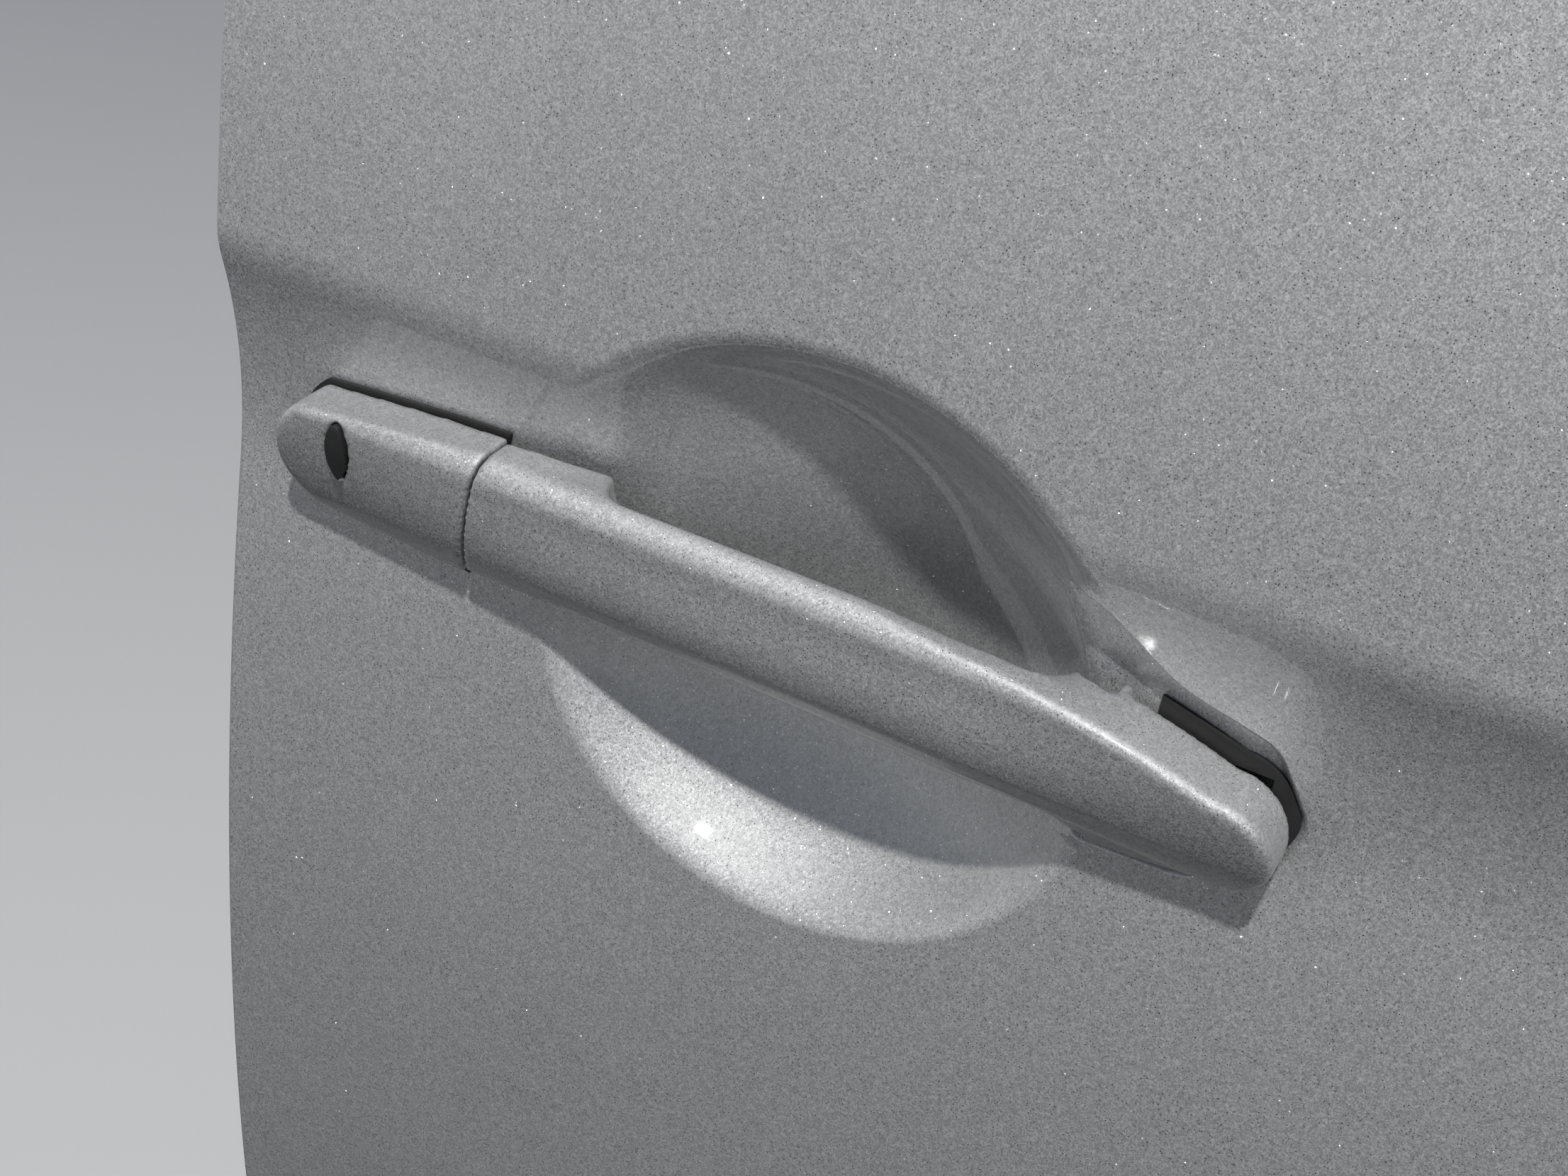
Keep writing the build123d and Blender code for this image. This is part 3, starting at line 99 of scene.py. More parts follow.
class Finish:
    """A material with one Principled shader, and short calls for the nodes that feed it."""

    def __init__(self, name, **values):
        self.material = bpy.data.materials.new(name)
        self.tree = tree_of(self.material)
        self.shader = self.add("ShaderNodeBsdfPrincipled")
        out = self.add("ShaderNodeOutputMaterial")
        self.tree.links.new(self.shader.outputs[0], out.inputs["Surface"])
        for key, value in values.items():
            self.shader.inputs[key.replace("_", " ")].default_value = value
        self.coords = self.add("ShaderNodeTexCoord").outputs["Object"]

    def add(self, kind, **settings):
        node = self.tree.nodes.new(kind)
        for key, value in settings.items():
            setattr(node, key, value)
        return node

    def put(self, socket, value):
        if isinstance(value, bpy.types.NodeSocket):
            self.tree.links.new(value, socket)
        else:
            socket.default_value = value

    def math(self, operation, a, b=0.0, clamp=False):
        node = self.add("ShaderNodeMath", operation=operation, use_clamp=clamp)
        self.put(node.inputs[0], a)
        self.put(node.inputs[1], b)
        return node.outputs[0]

    def vector(self, operation, a, b=(0.0, 0.0, 0.0), scale=1.0):
        node = self.add("ShaderNodeVectorMath", operation=operation)
        self.put(node.inputs[0], a)
        if operation == "SCALE":
            self.put(node.inputs["Scale"], scale)
        else:
            self.put(node.inputs[1], b)
        return node.outputs["Value"] if operation in ("LENGTH", "DOT_PRODUCT") else node.outputs[0]

    def span(self, value, low, high, to_low=0.0, to_high=1.0):
        node = self.add("ShaderNodeMapRange")
        keys = ("Value", "From Min", "From Max", "To Min", "To Max")
        for key, v in zip(keys, (value, low, high, to_low, to_high)):
            self.put(node.inputs[key], v)
        return node.outputs[0]

    def noise(self, size, detail=2.0, roughness=0.5, stretch=(1.0, 1.0, 1.0)):
        """Noise whose features measure about size metres."""
        node = self.add("ShaderNodeTexNoise")
        node.inputs["Scale"].default_value = 1.0 / size
        node.inputs["Detail"].default_value = detail
        node.inputs["Roughness"].default_value = roughness
        self.put(node.inputs["Vector"], self.vector("MULTIPLY", self.coords, stretch))
        return node.outputs[0]

    def cells(self, size, feature="F1"):
        node = self.add("ShaderNodeTexVoronoi", feature=feature)
        node.inputs["Scale"].default_value = 1.0 / size
        self.put(node.inputs["Vector"], self.coords)
        return node

    def mix(self, share, a, b):
        node = self.add("ShaderNodeMix", data_type="RGBA")
        self.put(node.inputs[0], share)
        self.put(node.inputs[6], a)
        self.put(node.inputs[7], b)
        return node.outputs[2]

    def bump(self, height, depth, strength=1.0):
        """Bump whose full height is depth metres."""
        node = self.add("ShaderNodeBump")
        node.inputs["Strength"].default_value = strength
        node.inputs["Distance"].default_value = depth
        self.put(node.inputs["Height"], height)
        self.put(self.shader.inputs["Normal"], node.outputs[0])


def grey(value):
    return (value, value, value, 1.0)


def times(colour, share):
    return tuple(c * share for c in colour) + (1.0,)


def silver_paint(name, base, coat):
    """Metallic paint: fine grain, and flakes that lie at other angles."""
    f = Finish(name, Metallic=0.9, Coat_Weight=coat, Coat_Roughness=0.04)
    grain = f.cells(GRAIN_SIZE)
    flakes = f.cells(FLAKE_SIZE)
    grain_tilt = f.vector("SUBTRACT", grain.outputs["Color"], (0.5, 0.5, 0.5))
    grain_tilt = f.vector("SCALE", grain_tilt, scale=GRAIN_TILT)
    random = f.add("ShaderNodeSeparateColor")
    f.put(random.inputs[0], flakes.outputs["Color"])
    dot = f.span(flakes.outputs["Distance"], *FLAKE_EDGE, 1.0, 0.0)
    kept = f.math("GREATER_THAN", random.outputs[0], FLAKE_SHARE_LEFT_OUT)
    rare = f.math("MULTIPLY", dot, kept)
    flake_tilt = f.vector("SUBTRACT", flakes.outputs["Color"], (0.5, 0.5, 0.5))
    flake_tilt = f.vector("SCALE", flake_tilt, scale=f.math("MULTIPLY", rare, FLAKE_TILT))
    normal = f.add("ShaderNodeNewGeometry").outputs["Normal"]
    tilted = f.vector("ADD", f.vector("ADD", normal, grain_tilt), flake_tilt)
    f.put(f.shader.inputs["Normal"], f.vector("NORMALIZE", tilted))
    shade = f.span(random.outputs[1], 0.0, 1.0, 0.9, 1.1)
    fine = f.add("ShaderNodeSeparateColor")
    f.put(fine.inputs[0], grain.outputs["Color"])
    shade = f.math("MULTIPLY", shade, f.span(fine.outputs[2], 0.0, 1.0, 0.86, 1.14))
    shade = f.math("MULTIPLY", shade, f.span(f.noise(0.09, 1.0), 0.3, 0.7, 0.98, 1.02))
    f.put(f.shader.inputs["Base Color"], f.vector("SCALE", base, scale=shade))
    f.put(f.shader.inputs["Roughness"], f.span(rare, 0.0, 1.0, PAINT_ROUGHNESS, FLAKE_ROUGHNESS))
    return f.material


def moulded_plastic(name, colour, roughness, grain=0.0007, depth=0.00006):
    """Grained plastic with slightly uneven gloss."""
    f = Finish(name, Specular_IOR_Level=0.4)
    speck = f.cells(grain, "SMOOTH_F1").outputs["Distance"]
    f.put(f.shader.inputs["Base Color"], f.mix(f.noise(0.05, 3.0), times(colour, 0.88), times(colour, 1.12)))
    gloss = f.span(f.noise(0.02, 3.0), 0.3, 0.7, roughness - 0.05, roughness + 0.05)
    f.put(f.shader.inputs["Roughness"], gloss)
    f.bump(speck, depth)
    return f.material


def black_rubber(name, value=0.018, roughness=0.55):
    f = Finish(name, Specular_IOR_Level=0.35)
    f.put(f.shader.inputs["Base Color"], f.mix(f.noise(0.012, 4.0), grey(value * 0.8), grey(value * 1.5)))
    gloss = f.span(f.noise(0.006, 3.0), 0.3, 0.7, roughness - 0.08, roughness + 0.08)
    f.put(f.shader.inputs["Roughness"], gloss)
    f.bump(f.noise(0.0006, 3.0), 0.00003)
    return f.material


def gloss_black(name):
    f = Finish(name, Coat_Weight=0.6, Coat_Roughness=0.03, Specular_IOR_Level=0.5)
    f.put(f.shader.inputs["Base Color"], f.mix(f.noise(0.03), grey(0.008), grey(0.013)))
    f.put(f.shader.inputs["Roughness"], f.span(f.noise(0.01, 4.0), 0.3, 0.7, 0.1, 0.2))
    f.bump(f.noise(0.004, 1.0), 0.00001)
    return f.material


def plated_steel(name, colour, roughness):
    """Plated metal with a faint drift of tint and fine handling marks."""
    f = Finish(name, Metallic=0.95)
    tint = f.mix(f.noise(0.015, 4.0), times(colour, 1.0), times(colour, 0.82))
    f.put(f.shader.inputs["Base Color"], tint)
    marks = f.noise(0.0012, 4.0, 0.6, (1.0, 1.0, 0.1))
    f.put(f.shader.inputs["Roughness"], f.span(marks, 0.3, 0.7, roughness - 0.08, roughness + 0.08))
    f.bump(marks, 0.00004)
    return f.material


def tinted_glass(name):
    f = Finish(name, IOR=1.5, Transmission_Weight=0.92)
    f.put(f.shader.inputs["Base Color"], f.mix(f.noise(0.3, 1.0), (0.55, 0.66, 0.61, 1), (0.6, 0.7, 0.66, 1)))
    f.put(f.shader.inputs["Roughness"], f.span(f.noise(0.05, 5.0), 0.3, 0.7, 0.0, 0.03))
    return f.material


def woven_fabric(name, colour):
    """Plain weave of two slightly different yarns, seen on upright faces."""
    f = Finish(name, Roughness=0.9, Sheen_Weight=0.25, Sheen_Roughness=0.4)
    parts = f.add("ShaderNodeSeparateXYZ")
    f.put(parts.inputs[0], f.coords)
    yarn = 2 * math.pi / 0.0016
    warp = f.math("SINE", f.math("MULTIPLY", parts.outputs[0], yarn))
    weft = f.math("SINE", f.math("MULTIPLY", parts.outputs[2], yarn))
    weave = f.span(f.math("MULTIPLY", warp, weft), -1.0, 1.0)
    f.put(f.shader.inputs["Base Color"], f.mix(weave, times(colour, 0.6), times(colour, 1.5)))
    f.bump(f.math("ADD", weave, f.noise(0.0008, 4.0)), 0.00025)
    return f.material


def grained_vinyl(name, colour):
    f = Finish(name, Specular_IOR_Level=0.45)
    creases = f.cells(0.0022, "DISTANCE_TO_EDGE").outputs["Distance"]
    grain = f.span(creases, 0.0, 0.12)
    f.put(f.shader.inputs["Base Color"], f.mix(grain, times(colour, 0.7), times(colour, 1.0)))
    f.put(f.shader.inputs["Roughness"], f.span(grain, 0.0, 1.0, 0.62, 0.46))
    f.bump(grain, 0.00012)
    return f.material


SILVER = (0.50, 0.505, 0.51)
FINISHES = {
    "silver_paint": silver_paint("silver_paint", SILVER, 1.0),
    "silver_paint_inner": silver_paint("silver_paint_inner", tuple(c * 0.9 for c in SILVER), 0.5),
    "glass": tinted_glass("window_glass"),
    "rubber": black_rubber("black_rubber"),
    "gloss_black": gloss_black("gloss_black"),
    "black_plastic": moulded_plastic("black_plastic", (0.022, 0.022, 0.023), 0.5),
    "painted_steel": silver_paint("painted_steel", tuple(c * 0.92 for c in SILVER), 0.6),
    "zinc_steel": plated_steel("zinc_steel", (0.62, 0.6, 0.52), 0.35),
    "latch_steel": plated_steel("latch_steel", (0.42, 0.42, 0.41), 0.4),
    "black_rubber_button": black_rubber("button_rubber", 0.02, 0.32),
    "trim_plastic": moulded_plastic("trim_plastic", (0.052, 0.052, 0.054), 0.55, 0.0011, 0.0001),
    "trim_plastic_upper": moulded_plastic("trim_upper", (0.035, 0.035, 0.037), 0.6, 0.0014, 0.00014),
    "trim_fabric": woven_fabric("trim_fabric", (0.09, 0.09, 0.095)),
    "armrest_skin": grained_vinyl("armrest_vinyl", (0.045, 0.045, 0.047)),
    "satin_metal": plated_steel("satin_metal", (0.68, 0.68, 0.68), 0.24),
}

NODE_FINISH = {
    "silver_paint": ["outer_skin", "handle_cap", "handle_grip"],
    "silver_paint_inner": ["inner_panel", "window_frame"],
    "glass": ["window_glass"],
    "rubber": ["glass_run", "inner_belt_seal", "door_seal", "cap_gasket", "grip_gasket"],
    "gloss_black": ["pillar_cover"],
    "black_plastic": ["outer_belt_seal", "sail_cover", "handle_bracket", "switch_panel", "speaker_grille"],
    "painted_steel": ["upper_hinge_door_leaf", "lower_hinge_door_leaf",
                      "upper_hinge_body_leaf", "lower_hinge_body_leaf"],
    "zinc_steel": ["check_arm"],
    "latch_steel": ["latch"],
    "black_rubber_button": ["request_button"],
    "trim_plastic": ["trim_panel", "map_pocket", "inner_handle_bezel"],
    "trim_plastic_upper": ["trim_shoulder"],
    "trim_fabric": ["trim_insert"],
    "armrest_skin": ["armrest"],
    "satin_metal": ["inner_handle"],
}


def finish_nodes():
    for finish, names in NODE_FINISH.items():
        for name in names:
            mesh = NODES[name].data
            mesh.materials.clear()
            mesh.materials.append(FINISHES[finish])


# The door's skin in the front view, millimetres from the middle of the handle: x forward, y inboard, z up
BELT_REAR_Z, BELT_FRONT_Z, BOTTOM_Z = 200.0, 160.0, -515.0
REAR_X, FRONT_X = -141.0, 915.0
DOOR = [(REAR_X, BOTTOM_Z, 60), (FRONT_X, BOTTOM_Z, 110),
        (FRONT_X, BELT_FRONT_Z, 5), (REAR_X, BELT_REAR_Z, 5)]
PLAN_R = 16000.0
RUN_TOP_Z, RUN_Y, RUN_SLOPE = -254.0, 6.41, -0.12006
LOWER_C, LOWER_R = (1247.5, -105.0), 1250.0         # centres as y, z
HOLLOW_C, HOLLOW_R = (-128.66, -2.0), 130.0
UPPER_C, UPPER_R = (1241.65, 25.0), 1250.0
CREASE_BLEND = 1.9
BOWL_X, BOWL_Z = 12.1, -0.1
BOWL_LIP_R, BOWL_LIP_LEAN = 70.0, 0.62              # the lip's radius at y = 0, and its run per unit of depth
DISH_Z, DISH_R, DISH_DEPTH = -6.0, 94.5, 29.0
RAMP_AT, RAMP_SLOPE = (12.1, 22.0, 13.7), (0.294, -0.275)   # rear upper side of the bowl, a flatter slope
RAMP_BLEND, LIP_INNER_BLEND, LIP_BLEND = 7.0, 6.0, 5.5
POCKET = [(56.2, -22.0, 1), (101.0, -20.5, 20), (118.0, -12.5, 8), (122.5, 0.0, 7),
          (113.0, 15.6, 9), (91.0, 21.5, 30), (70.0, 37.5, 14), (56.2, 34.0, 1)]
POCKET_FLOOR, POCKET_WALL, POCKET_EDGE_BLEND = 4.0, 1.6, 1.5
SKIN_T, ROLL_R, HEM_DEPTH = 1.2, 1.6, 13.0
ARM_HOLE, HOOK_HOLE, HOLE_CORNER_R = (-71.0, -55.0, -8.0, 8.0), (100.0, 114.0, -8.0, 8.0), 2.0
POST_AT, POST_HOLE_R = (-95.0, 2.0), 5.0


def arc_depth(centre, radius, z, side):
    return centre[0] + side * np.sqrt(np.maximum(radius ** 2 - (z - centre[1]) ** 2, 0.0))


def smooth_max(a, b, width):
    h = np.clip(0.5 + 0.5 * (a - b) / width, 0.0, 1.0)
    return b + (a - b) * h + width * h * (1.0 - h)


def smooth_min(a, b, width):
    return -smooth_max(-a, -b, width)


def smooth_step(t):
    t = np.clip(t, 0.0, 1.0)
    return t * t * (3.0 - 2.0 * t)


def skin_section(z):
    """Depth of the plain skin by height: straight run, lower arc, hollow, crease, upper arc."""
    join = LOWER_C[1] + LOWER_R * (HOLLOW_C[1] - LOWER_C[1]) / math.dist(LOWER_C, HOLLOW_C)
    hollow = arc_depth(HOLLOW_C, HOLLOW_R, np.clip(z, join, 100.0), 1)
    above = smooth_max(hollow, arc_depth(UPPER_C, UPPER_R, z, -1), CREASE_BLEND)
    y = np.where(z > join, above, arc_depth(LOWER_C, LOWER_R, z, -1))
    return np.where(z < RUN_TOP_Z, RUN_Y + RUN_SLOPE * (z - RUN_TOP_Z), y)


def rounded_loop(corners, step, inset=0.0):
    """Points anticlockwise round a polygon of (x, z, corner radius), as many for any inset."""
    at = [np.array(c[:2], float) for c in corners]
    arcs = []
    for i, corner in enumerate(corners):
        before, after = at[i - 1] - at[i], at[(i + 1) % len(at)] - at[i]
        before, after = before / np.linalg.norm(before), after / np.linalg.norm(after)
        half = math.acos(before @ after) / 2
        convex = before[0] * after[1] < before[1] * after[0]
        centre = at[i] + (before + after) / np.linalg.norm(before + after) * corner[2] / math.sin(half)
        ends = [at[i] + way * corner[2] / math.tan(half) - centre for way in (before, after)]
        start, end = (math.atan2(p[1], p[0]) for p in ends)
        sweep = (end - start + math.pi) % (2 * math.pi) - math.pi
        radius = corner[2] + (-inset if convex else inset)
        angles = start + sweep * np.linspace(0, 1, max(3, round(abs(sweep) * corner[2] / step) + 1))
        arc = centre + radius * np.stack([np.cos(angles), np.sin(angles)], 1)
        arcs.append((arc, centre + ends[0], centre + ends[1]))
    loop = []
    for i, (arc, _, leaves) in enumerate(arcs):
        following, enters, _ = arcs[(i + 1) % len(arcs)]
        count = max(1, round(np.linalg.norm(enters - leaves) / step))
        loop += list(arc) + [arc[-1] + (following[0] - arc[-1]) * k / count for k in range(1, count)]
    return np.array(loop)


def circle_loop(x, z, radius, step):
    angles = np.arange(max(8, round(2 * math.pi * radius / step)))
    angles = angles * 2 * math.pi / len(angles)
    return np.stack([x + radius * np.cos(angles), z + radius * np.sin(angles)], 1)


def inside(loop, p):
    """Which points lie within a closed loop."""
    hit = np.zeros(len(p), bool)
    for (x0, z0), (x1, z1) in zip(loop, np.roll(loop, -1, axis=0)):
        if z0 != z1:
            crosses = (z0 > p[:, 1]) != (z1 > p[:, 1])
            hit ^= crosses & (p[:, 0] < (x1 - x0) * (p[:, 1] - z0) / (z1 - z0) + x0)
    return hit


def signed_distance(loop, p):
    """Distance of points from a closed loop, below zero within it."""
    best = np.full(len(p), np.inf)
    for a, b in zip(loop, np.roll(loop, -1, axis=0)):
        t = np.clip((p - a) @ (b - a) / ((b - a) @ (b - a)), 0, 1)
        best = np.minimum(best, np.hypot(*(p - a - t[:, None] * (b - a)).T))
    return np.where(inside(loop, p), -best, best)


POCKET_LOOP = rounded_loop(POCKET, 0.7)
POCKET_REACH = 8.0


def pocket_distance(p):
    low, high = POCKET_LOOP.min(0) - POCKET_REACH, POCKET_LOOP.max(0) + POCKET_REACH
    near = ((p > low) & (p < high)).all(1)
    distance = np.full(len(p), POCKET_REACH)
    distance[near] = signed_distance(POCKET_LOOP, p[near])
    return distance


def skin_depth(p):
    """Depth of the outer skin, bowl and pocket at points x, z."""
    x, z = p[:, 0], p[:, 1]
    y = skin_section(z)
    y = PLAN_R - np.sqrt((PLAN_R - y) ** 2 - x ** 2)
    off = np.minimum(np.hypot(x - BOWL_X, z - DISH_Z), DISH_R)
    bowl = DISH_DEPTH - DISH_R + np.sqrt(DISH_R ** 2 - off ** 2)
    ramp = RAMP_AT[1] + RAMP_SLOPE[0] * (x - RAMP_AT[0]) + RAMP_SLOPE[1] * (z - RAMP_AT[2])
    bowl = smooth_min(bowl, ramp, RAMP_BLEND)
    lip = (BOWL_LIP_R - np.hypot(x - BOWL_X, z - BOWL_Z)) / BOWL_LIP_LEAN
    bowl = smooth_min(bowl, lip, LIP_INNER_BLEND)
    distance = pocket_distance(p)
    wall = smooth_step(0.5 + distance / (2 * POCKET_WALL))
    y = y * wall + np.maximum(POCKET_FLOOR, y) * (1 - wall)
    blend = POCKET_EDGE_BLEND + (LIP_BLEND - POCKET_EDGE_BLEND) * smooth_step(distance / 4)
    return smooth_max(y, bowl, blend)


def lattice(x0, x1, z0, z1, dx, dz):
    return np.stack(np.meshgrid(np.arange(x0, x1, dx), np.arange(z0, z1, dz)), 2).reshape(-1, 2)


def skin_points(coarser):
    """Points of a sheet of the skin, closest where it turns tightest; coarser thins them all out."""
    k = coarser
    radii = list(np.arange(1.5 * k, 57, 1.5 * k)) + list(np.arange(57, 83, 0.8 * k))
    bowl = np.concatenate([circle_loop(BOWL_X, BOWL_Z, r, 1.3 * k) for r in radii])
    bowl = bowl[np.abs(pocket_distance(bowl)) > 2.6]
    edge = np.concatenate([rounded_loop(POCKET, 0.8 * k, d) for d in np.arange(-2.4, 2.5, 0.4 * k)])
    edge = edge[np.hypot(edge[:, 0] - BOWL_X, edge[:, 1] - BOWL_Z) > 60]
    rest = []
    for area, (dx, dz) in (((REAR_X, 170, -60, 90), (3.5, 3.5)), ((REAR_X, FRONT_X, 26, 60), (5, 1.4)),
                           ((REAR_X, FRONT_X, BOTTOM_Z, BELT_REAR_Z), (11, 11))):
        p = lattice(*area, dx * k, dz * k)
        free = (np.hypot(p[:, 0] - BOWL_X, p[:, 1] - BOWL_Z) > 84) & (pocket_distance(p) > 3.4)
        if dx > 4:
            free &= ~((p[:, 0] < 172) & (p[:, 1] > -62) & (p[:, 1] < 92))
        if dx > 6:
            free &= ~((p[:, 1] > 22) & (p[:, 1] < 64))
        rest.append(p[free])
    return np.concatenate([bowl, edge] + rest)


def sheet_of(points, outline, holes):
    """Triangles over points, within an outline and round holes; the loops come first in the points."""
    clear = inside(rounded_loop(DOOR, 3.0, ROLL_R + 1.2), points)
    for hole in holes:
        clear &= signed_distance(hole, points) > 0.8
    loops = [outline] + holes
    joined = np.concatenate(loops + [points[clear]])
    edges, first = [], 0
    for loop in loops:
        edges += [(first + i, first + (i + 1) % len(loop)) for i in range(len(loop))]
        first += len(loop)
    made = delaunay_2d_cdt([Vector(p) for p in joined], edges, [], 0, 1e-5)
    at = np.array([tuple(v) for v in made[0]])
    faces = np.array([f for f in made[2] if len(f) == 3])
    middle = at[faces].mean(1)
    keep = inside(outline, middle)
    for hole in holes:
        keep &= ~inside(hole, middle)
    return at, faces[keep]


def strip(near, far, count):
    """Quads from one closed run of points to the next one out."""
    i = np.arange(count)
    j = (i + 1) % count
    return np.stack([near + j, near + i, far + i, far + j], 1).tolist()


def make_skin():
    """Outer sheet, rolled edge with its hem, and inner sheet, closed round the handle's holes."""
    outline = rounded_loop(DOOR, 3.0, ROLL_R)
    holes = [rounded_loop([(x, z, HOLE_CORNER_R) for x, z in ((a, c), (b, c), (b, d), (a, d))], 1.0)
             for a, b, c, d in (ARM_HOLE, HOOK_HOLE)] + [circle_loop(*POST_AT, POST_HOLE_R, 1.0)]
    out_at, out_faces = sheet_of(skin_points(1.0), outline, holes)
    in_at, in_faces = sheet_of(skin_points(3.0), outline, holes)
    edge = len(outline)
    depth = skin_depth(out_at)
    base = depth[:edge]
    points = [np.stack([out_at[:, 0], depth, out_at[:, 1]], 1)]
    faces = out_faces.tolist()
    near, total = 0, len(out_at)
    turns = np.radians((22.5, 45, 67.5, 90))
    rows = [(ROLL_R * (1 - math.sin(a)), ROLL_R * (1 - math.cos(a))) for a in turns]
    rows += [(0.0, HEM_DEPTH), (SKIN_T, HEM_DEPTH), (SKIN_T, SKIN_T + ROLL_R)]
    for inset, down in rows:
        loop = rounded_loop(DOOR, 3.0, inset)
        points.append(np.stack([loop[:, 0], base + down, loop[:, 1]], 1))
        faces += strip(near, total, edge)
        near, total = total, total + edge
    faces += strip(near, total, edge)
    points.append(np.stack([in_at[:, 0], skin_depth(in_at) + SKIN_T, in_at[:, 1]], 1))
    faces += (in_faces[:, ::-1] + total).tolist()
    first = edge
    for hole in holes:
        faces += strip(total + first, first, len(hole))
        first += len(hole)
    step = 0.02
    slopes = [(skin_depth(out_at + d) - skin_depth(out_at - d)) / (2 * step) for d in ((step, 0), (0, step))]
    normals = np.stack([slopes[0], -np.ones(len(out_at)), slopes[1]], 1)
    normals /= np.linalg.norm(normals, axis=1)[:, None]
    points = np.concatenate(points)
    normals = np.concatenate([normals, np.zeros((len(points) - len(out_at), 3))])
    return piece_of("door_skin", points, faces, "outer_skin", "door", "silver_paint", normals)


def piece_of(name, points, faces, node, body, finish, normals=None):
    """A mesh in handle millimetres that takes a node's place."""
    mesh = bpy.data.meshes.new(name)
    mesh.from_pydata((points * MM + np.array(HANDLE)).tolist(), [], faces)
    mesh.polygons.foreach_set("use_smooth", [True] * len(mesh.polygons))
    mesh.set_sharp_from_angle(angle=math.radians(50))
    if normals is not None:
        mesh.normals_split_custom_set_from_vertices(normals.tolist())
    piece = bpy.data.objects.new(name, mesh)
    bpy.context.scene.collection.objects.link(piece)
    mesh.materials.append(FINISHES[finish])
    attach(piece, body)
    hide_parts(node)
    return piece


# The handle's face is filled out from the first height down, fully between the middle two, to the last
FILL_Z = (17.0, -11.0, -13.0, -19.0)
FILL_OUT = 4.5
# Share of the fill by station along the handle
FILL_BY_X = ((-120.0, -0.3), (-75.0, 0.4), (-50.0, 1.0), (50.0, 1.2), (110.0, 0.0))
BACK_FROM, BACK_SPAN = -10.0, 6.0        # the back is filled out behind the first depth, over the second
BACK_OUT, BACK_FALL = 5.0, 2.5
BACK_X = (-52.0, -40.0, 66.0, 78.0)      # and between these stations


def fill_out(mesh):
    """Fills the lower face out along the lines from the camera's place, and the back inwards."""
    count = len(mesh.vertices)
    at, normal = np.empty(count * 3), np.empty(count * 3)
    mesh.vertices.foreach_get("co", at)
    mesh.vertex_normals.foreach_get("vector", normal)
    at, normal = (at.reshape(-1, 3) - np.array(HANDLE)) / MM, normal.reshape(-1, 3)
    z = at[:, 2]
    out = FILL_OUT * smooth_step((FILL_Z[0] - z) / (FILL_Z[0] - FILL_Z[1]))
    out *= smooth_step((z - FILL_Z[3]) / (FILL_Z[2] - FILL_Z[3])) * smooth_step(0.5 - 1.7 * normal[:, 1])
    out *= np.interp(at[:, 0], *zip(*FILL_BY_X))
    out[at[:, 1] > 0] = 0.0
    sight = np.array(CAMERA_AT) / MM - at
    at += sight / -sight[:, 1:2] * out[:, None]
    back = np.clip((at[:, 1] - BACK_FROM) / BACK_SPAN, 0, 1) * (at[:, 1] < 0)
    back *= smooth_step((at[:, 0] - BACK_X[0]) / (BACK_X[1] - BACK_X[0]))
    back *= smooth_step((BACK_X[3] - at[:, 0]) / (BACK_X[3] - BACK_X[2]))
    at[:, 1] += BACK_OUT * back
    at[:, 2] -= BACK_FALL * back * smooth_step(z / 12)
    mesh.vertices.foreach_set("co", (at * MM + np.array(HANDLE)).ravel())
    mesh.update()


def softened(name, node, body, finish, voxel, rounds):
    """A copy of a node with its edges rounded off as moulded or painted ones are."""
    piece = bpy.data.objects.new(name, NODES[node].data.copy())
    bpy.context.scene.collection.objects.link(piece)
    remesh = piece.modifiers.new("remesh", "REMESH")
    remesh.mode = "VOXEL"
    remesh.voxel_size = voxel * MM
    remesh.use_smooth_shade = True
    smooth = piece.modifiers.new("smooth", "SMOOTH")
    smooth.factor = 0.5
    smooth.iterations = rounds
    mesh = bpy.data.meshes.new_from_object(piece.evaluated_get(bpy.context.evaluated_depsgraph_get()))
    fill_out(mesh)
    piece.modifiers.clear()
    piece.data = mesh
    mesh.name = name
    mesh.materials.clear()
    mesh.materials.append(FINISHES[finish])
    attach(piece, body)
    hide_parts(node)
    return piece


def make_camera():
    data = bpy.data.cameras.new("camera")
    data.sensor_width = SENSOR
    data.lens = LENS
    data.clip_start = 0.02
    data.clip_end = 60.0
    camera = bpy.data.objects.new("camera", data)
    axes = Matrix((CAMERA_RIGHT, CAMERA_UP, CAMERA_BACK)).transposed()
    camera.matrix_world = Matrix.Translation(HANDLE + CAMERA_AT) @ axes.to_4x4()
    bpy.context.scene.collection.objects.link(camera)
    bpy.context.scene.camera = camera


def area_lamp(name, at, target, size, power, colour):
    data = bpy.data.lights.new(name, "AREA")
    data.shape = "DISK"
    data.size = size
    data.energy = power
    data.color = colour
    lamp = bpy.data.objects.new(name, data)
    lamp.location = at
    lamp.rotation_euler = (target - at).to_track_quat("-Z", "Y").to_euler()
    bpy.context.scene.collection.objects.link(lamp)
    return lamp


def make_lights():
    area_lamp("key", HANDLE + KEY_TOWARDS * KEY_DISTANCE, HANDLE, KEY_SIZE, KEY_POWER, KEY_COLOUR)


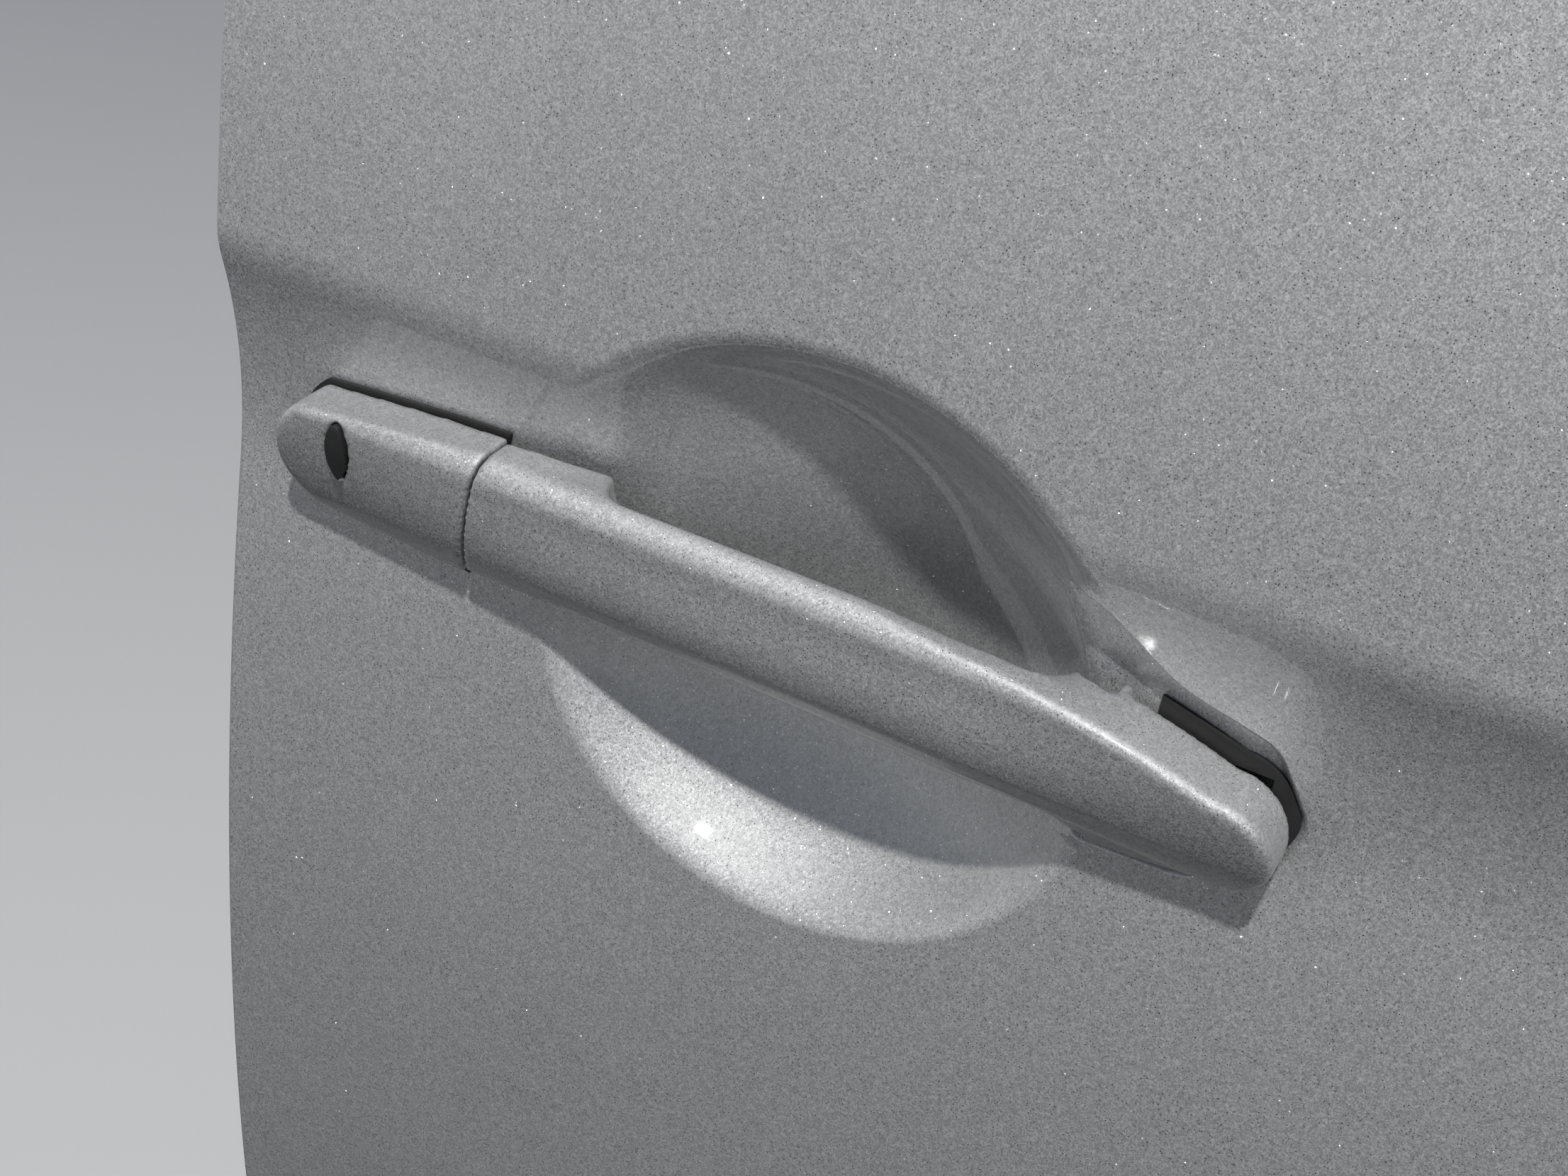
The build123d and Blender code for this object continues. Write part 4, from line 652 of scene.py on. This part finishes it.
def make_surround():
    """Smooth run of grey: bright at the horizon, dim above and below, brighter behind than ahead."""
    world = bpy.data.worlds.new("studio")
    bpy.context.scene.world = world
    tree = tree_of(world)
    coords = tree.nodes.new("ShaderNodeTexCoord")
    split = tree.nodes.new("ShaderNodeSeparateXYZ")
    ramp = tree.nodes.new("ShaderNodeValToRGB")
    height = tree.nodes.new("ShaderNodeMapRange")
    height.inputs["From Min"].default_value = -1.0
    height.inputs["From Max"].default_value = 1.0
    back = tree.nodes.new("ShaderNodeBackground")
    out = tree.nodes.new("ShaderNodeOutputWorld")
    tree.links.new(coords.outputs["Generated"], split.inputs[0])
    tree.links.new(split.outputs[2], height.inputs["Value"])
    tree.links.new(height.outputs[0], ramp.inputs[0])
    tree.links.new(ramp.outputs[0], back.inputs["Color"])
    aside = tree.nodes.new("ShaderNodeMapRange")
    for key, value in zip(("From Min", "From Max", "To Min", "To Max"), SIDE_FROM + SIDE_LIGHT):
        aside.inputs[key].default_value = value
    tree.links.new(split.outputs[0], aside.inputs["Value"])
    tree.links.new(aside.outputs[0], back.inputs["Strength"])
    tree.links.new(back.outputs[0], out.inputs["Surface"])
    elements = ramp.color_ramp.elements
    while len(elements) < len(SURROUND):
        elements.new(0.5)
    for element, (height_at, colour) in zip(elements, SURROUND):
        element.position = (height_at + 1) / 2
        element.color = colour + (1,)


def make_floor():
    z = cad_box[0].z - FLOOR_GAP
    bpy.ops.mesh.primitive_plane_add(size=FLOOR_SIZE, location=(HANDLE.x, HANDLE.y, z))
    floor = bpy.context.object
    floor.name = "floor"
    floor.visible_glossy = False
    f = Finish("pale_floor", Specular_IOR_Level=0.2)
    f.put(f.shader.inputs["Base Color"], f.mix(f.noise(0.6, 3.0), grey(0.60), grey(0.64)))
    f.put(f.shader.inputs["Roughness"], f.span(f.noise(0.1, 2.0), 0.3, 0.7, 0.8, 0.9))
    floor.data.materials.append(f.material)


def corners(box):
    return [[round(v, 6) for v in corner] for corner in box]


make_camera()
make_lights()
make_surround()
make_floor()
finish_nodes()
make_skin()
softened("grip_body", "handle_grip", "grip", "silver_paint", 0.7, 6)
softened("cap_body", "handle_cap", "door", "silver_paint", 0.7, 6)
bpy.context.scene.view_settings.view_transform = "Standard"
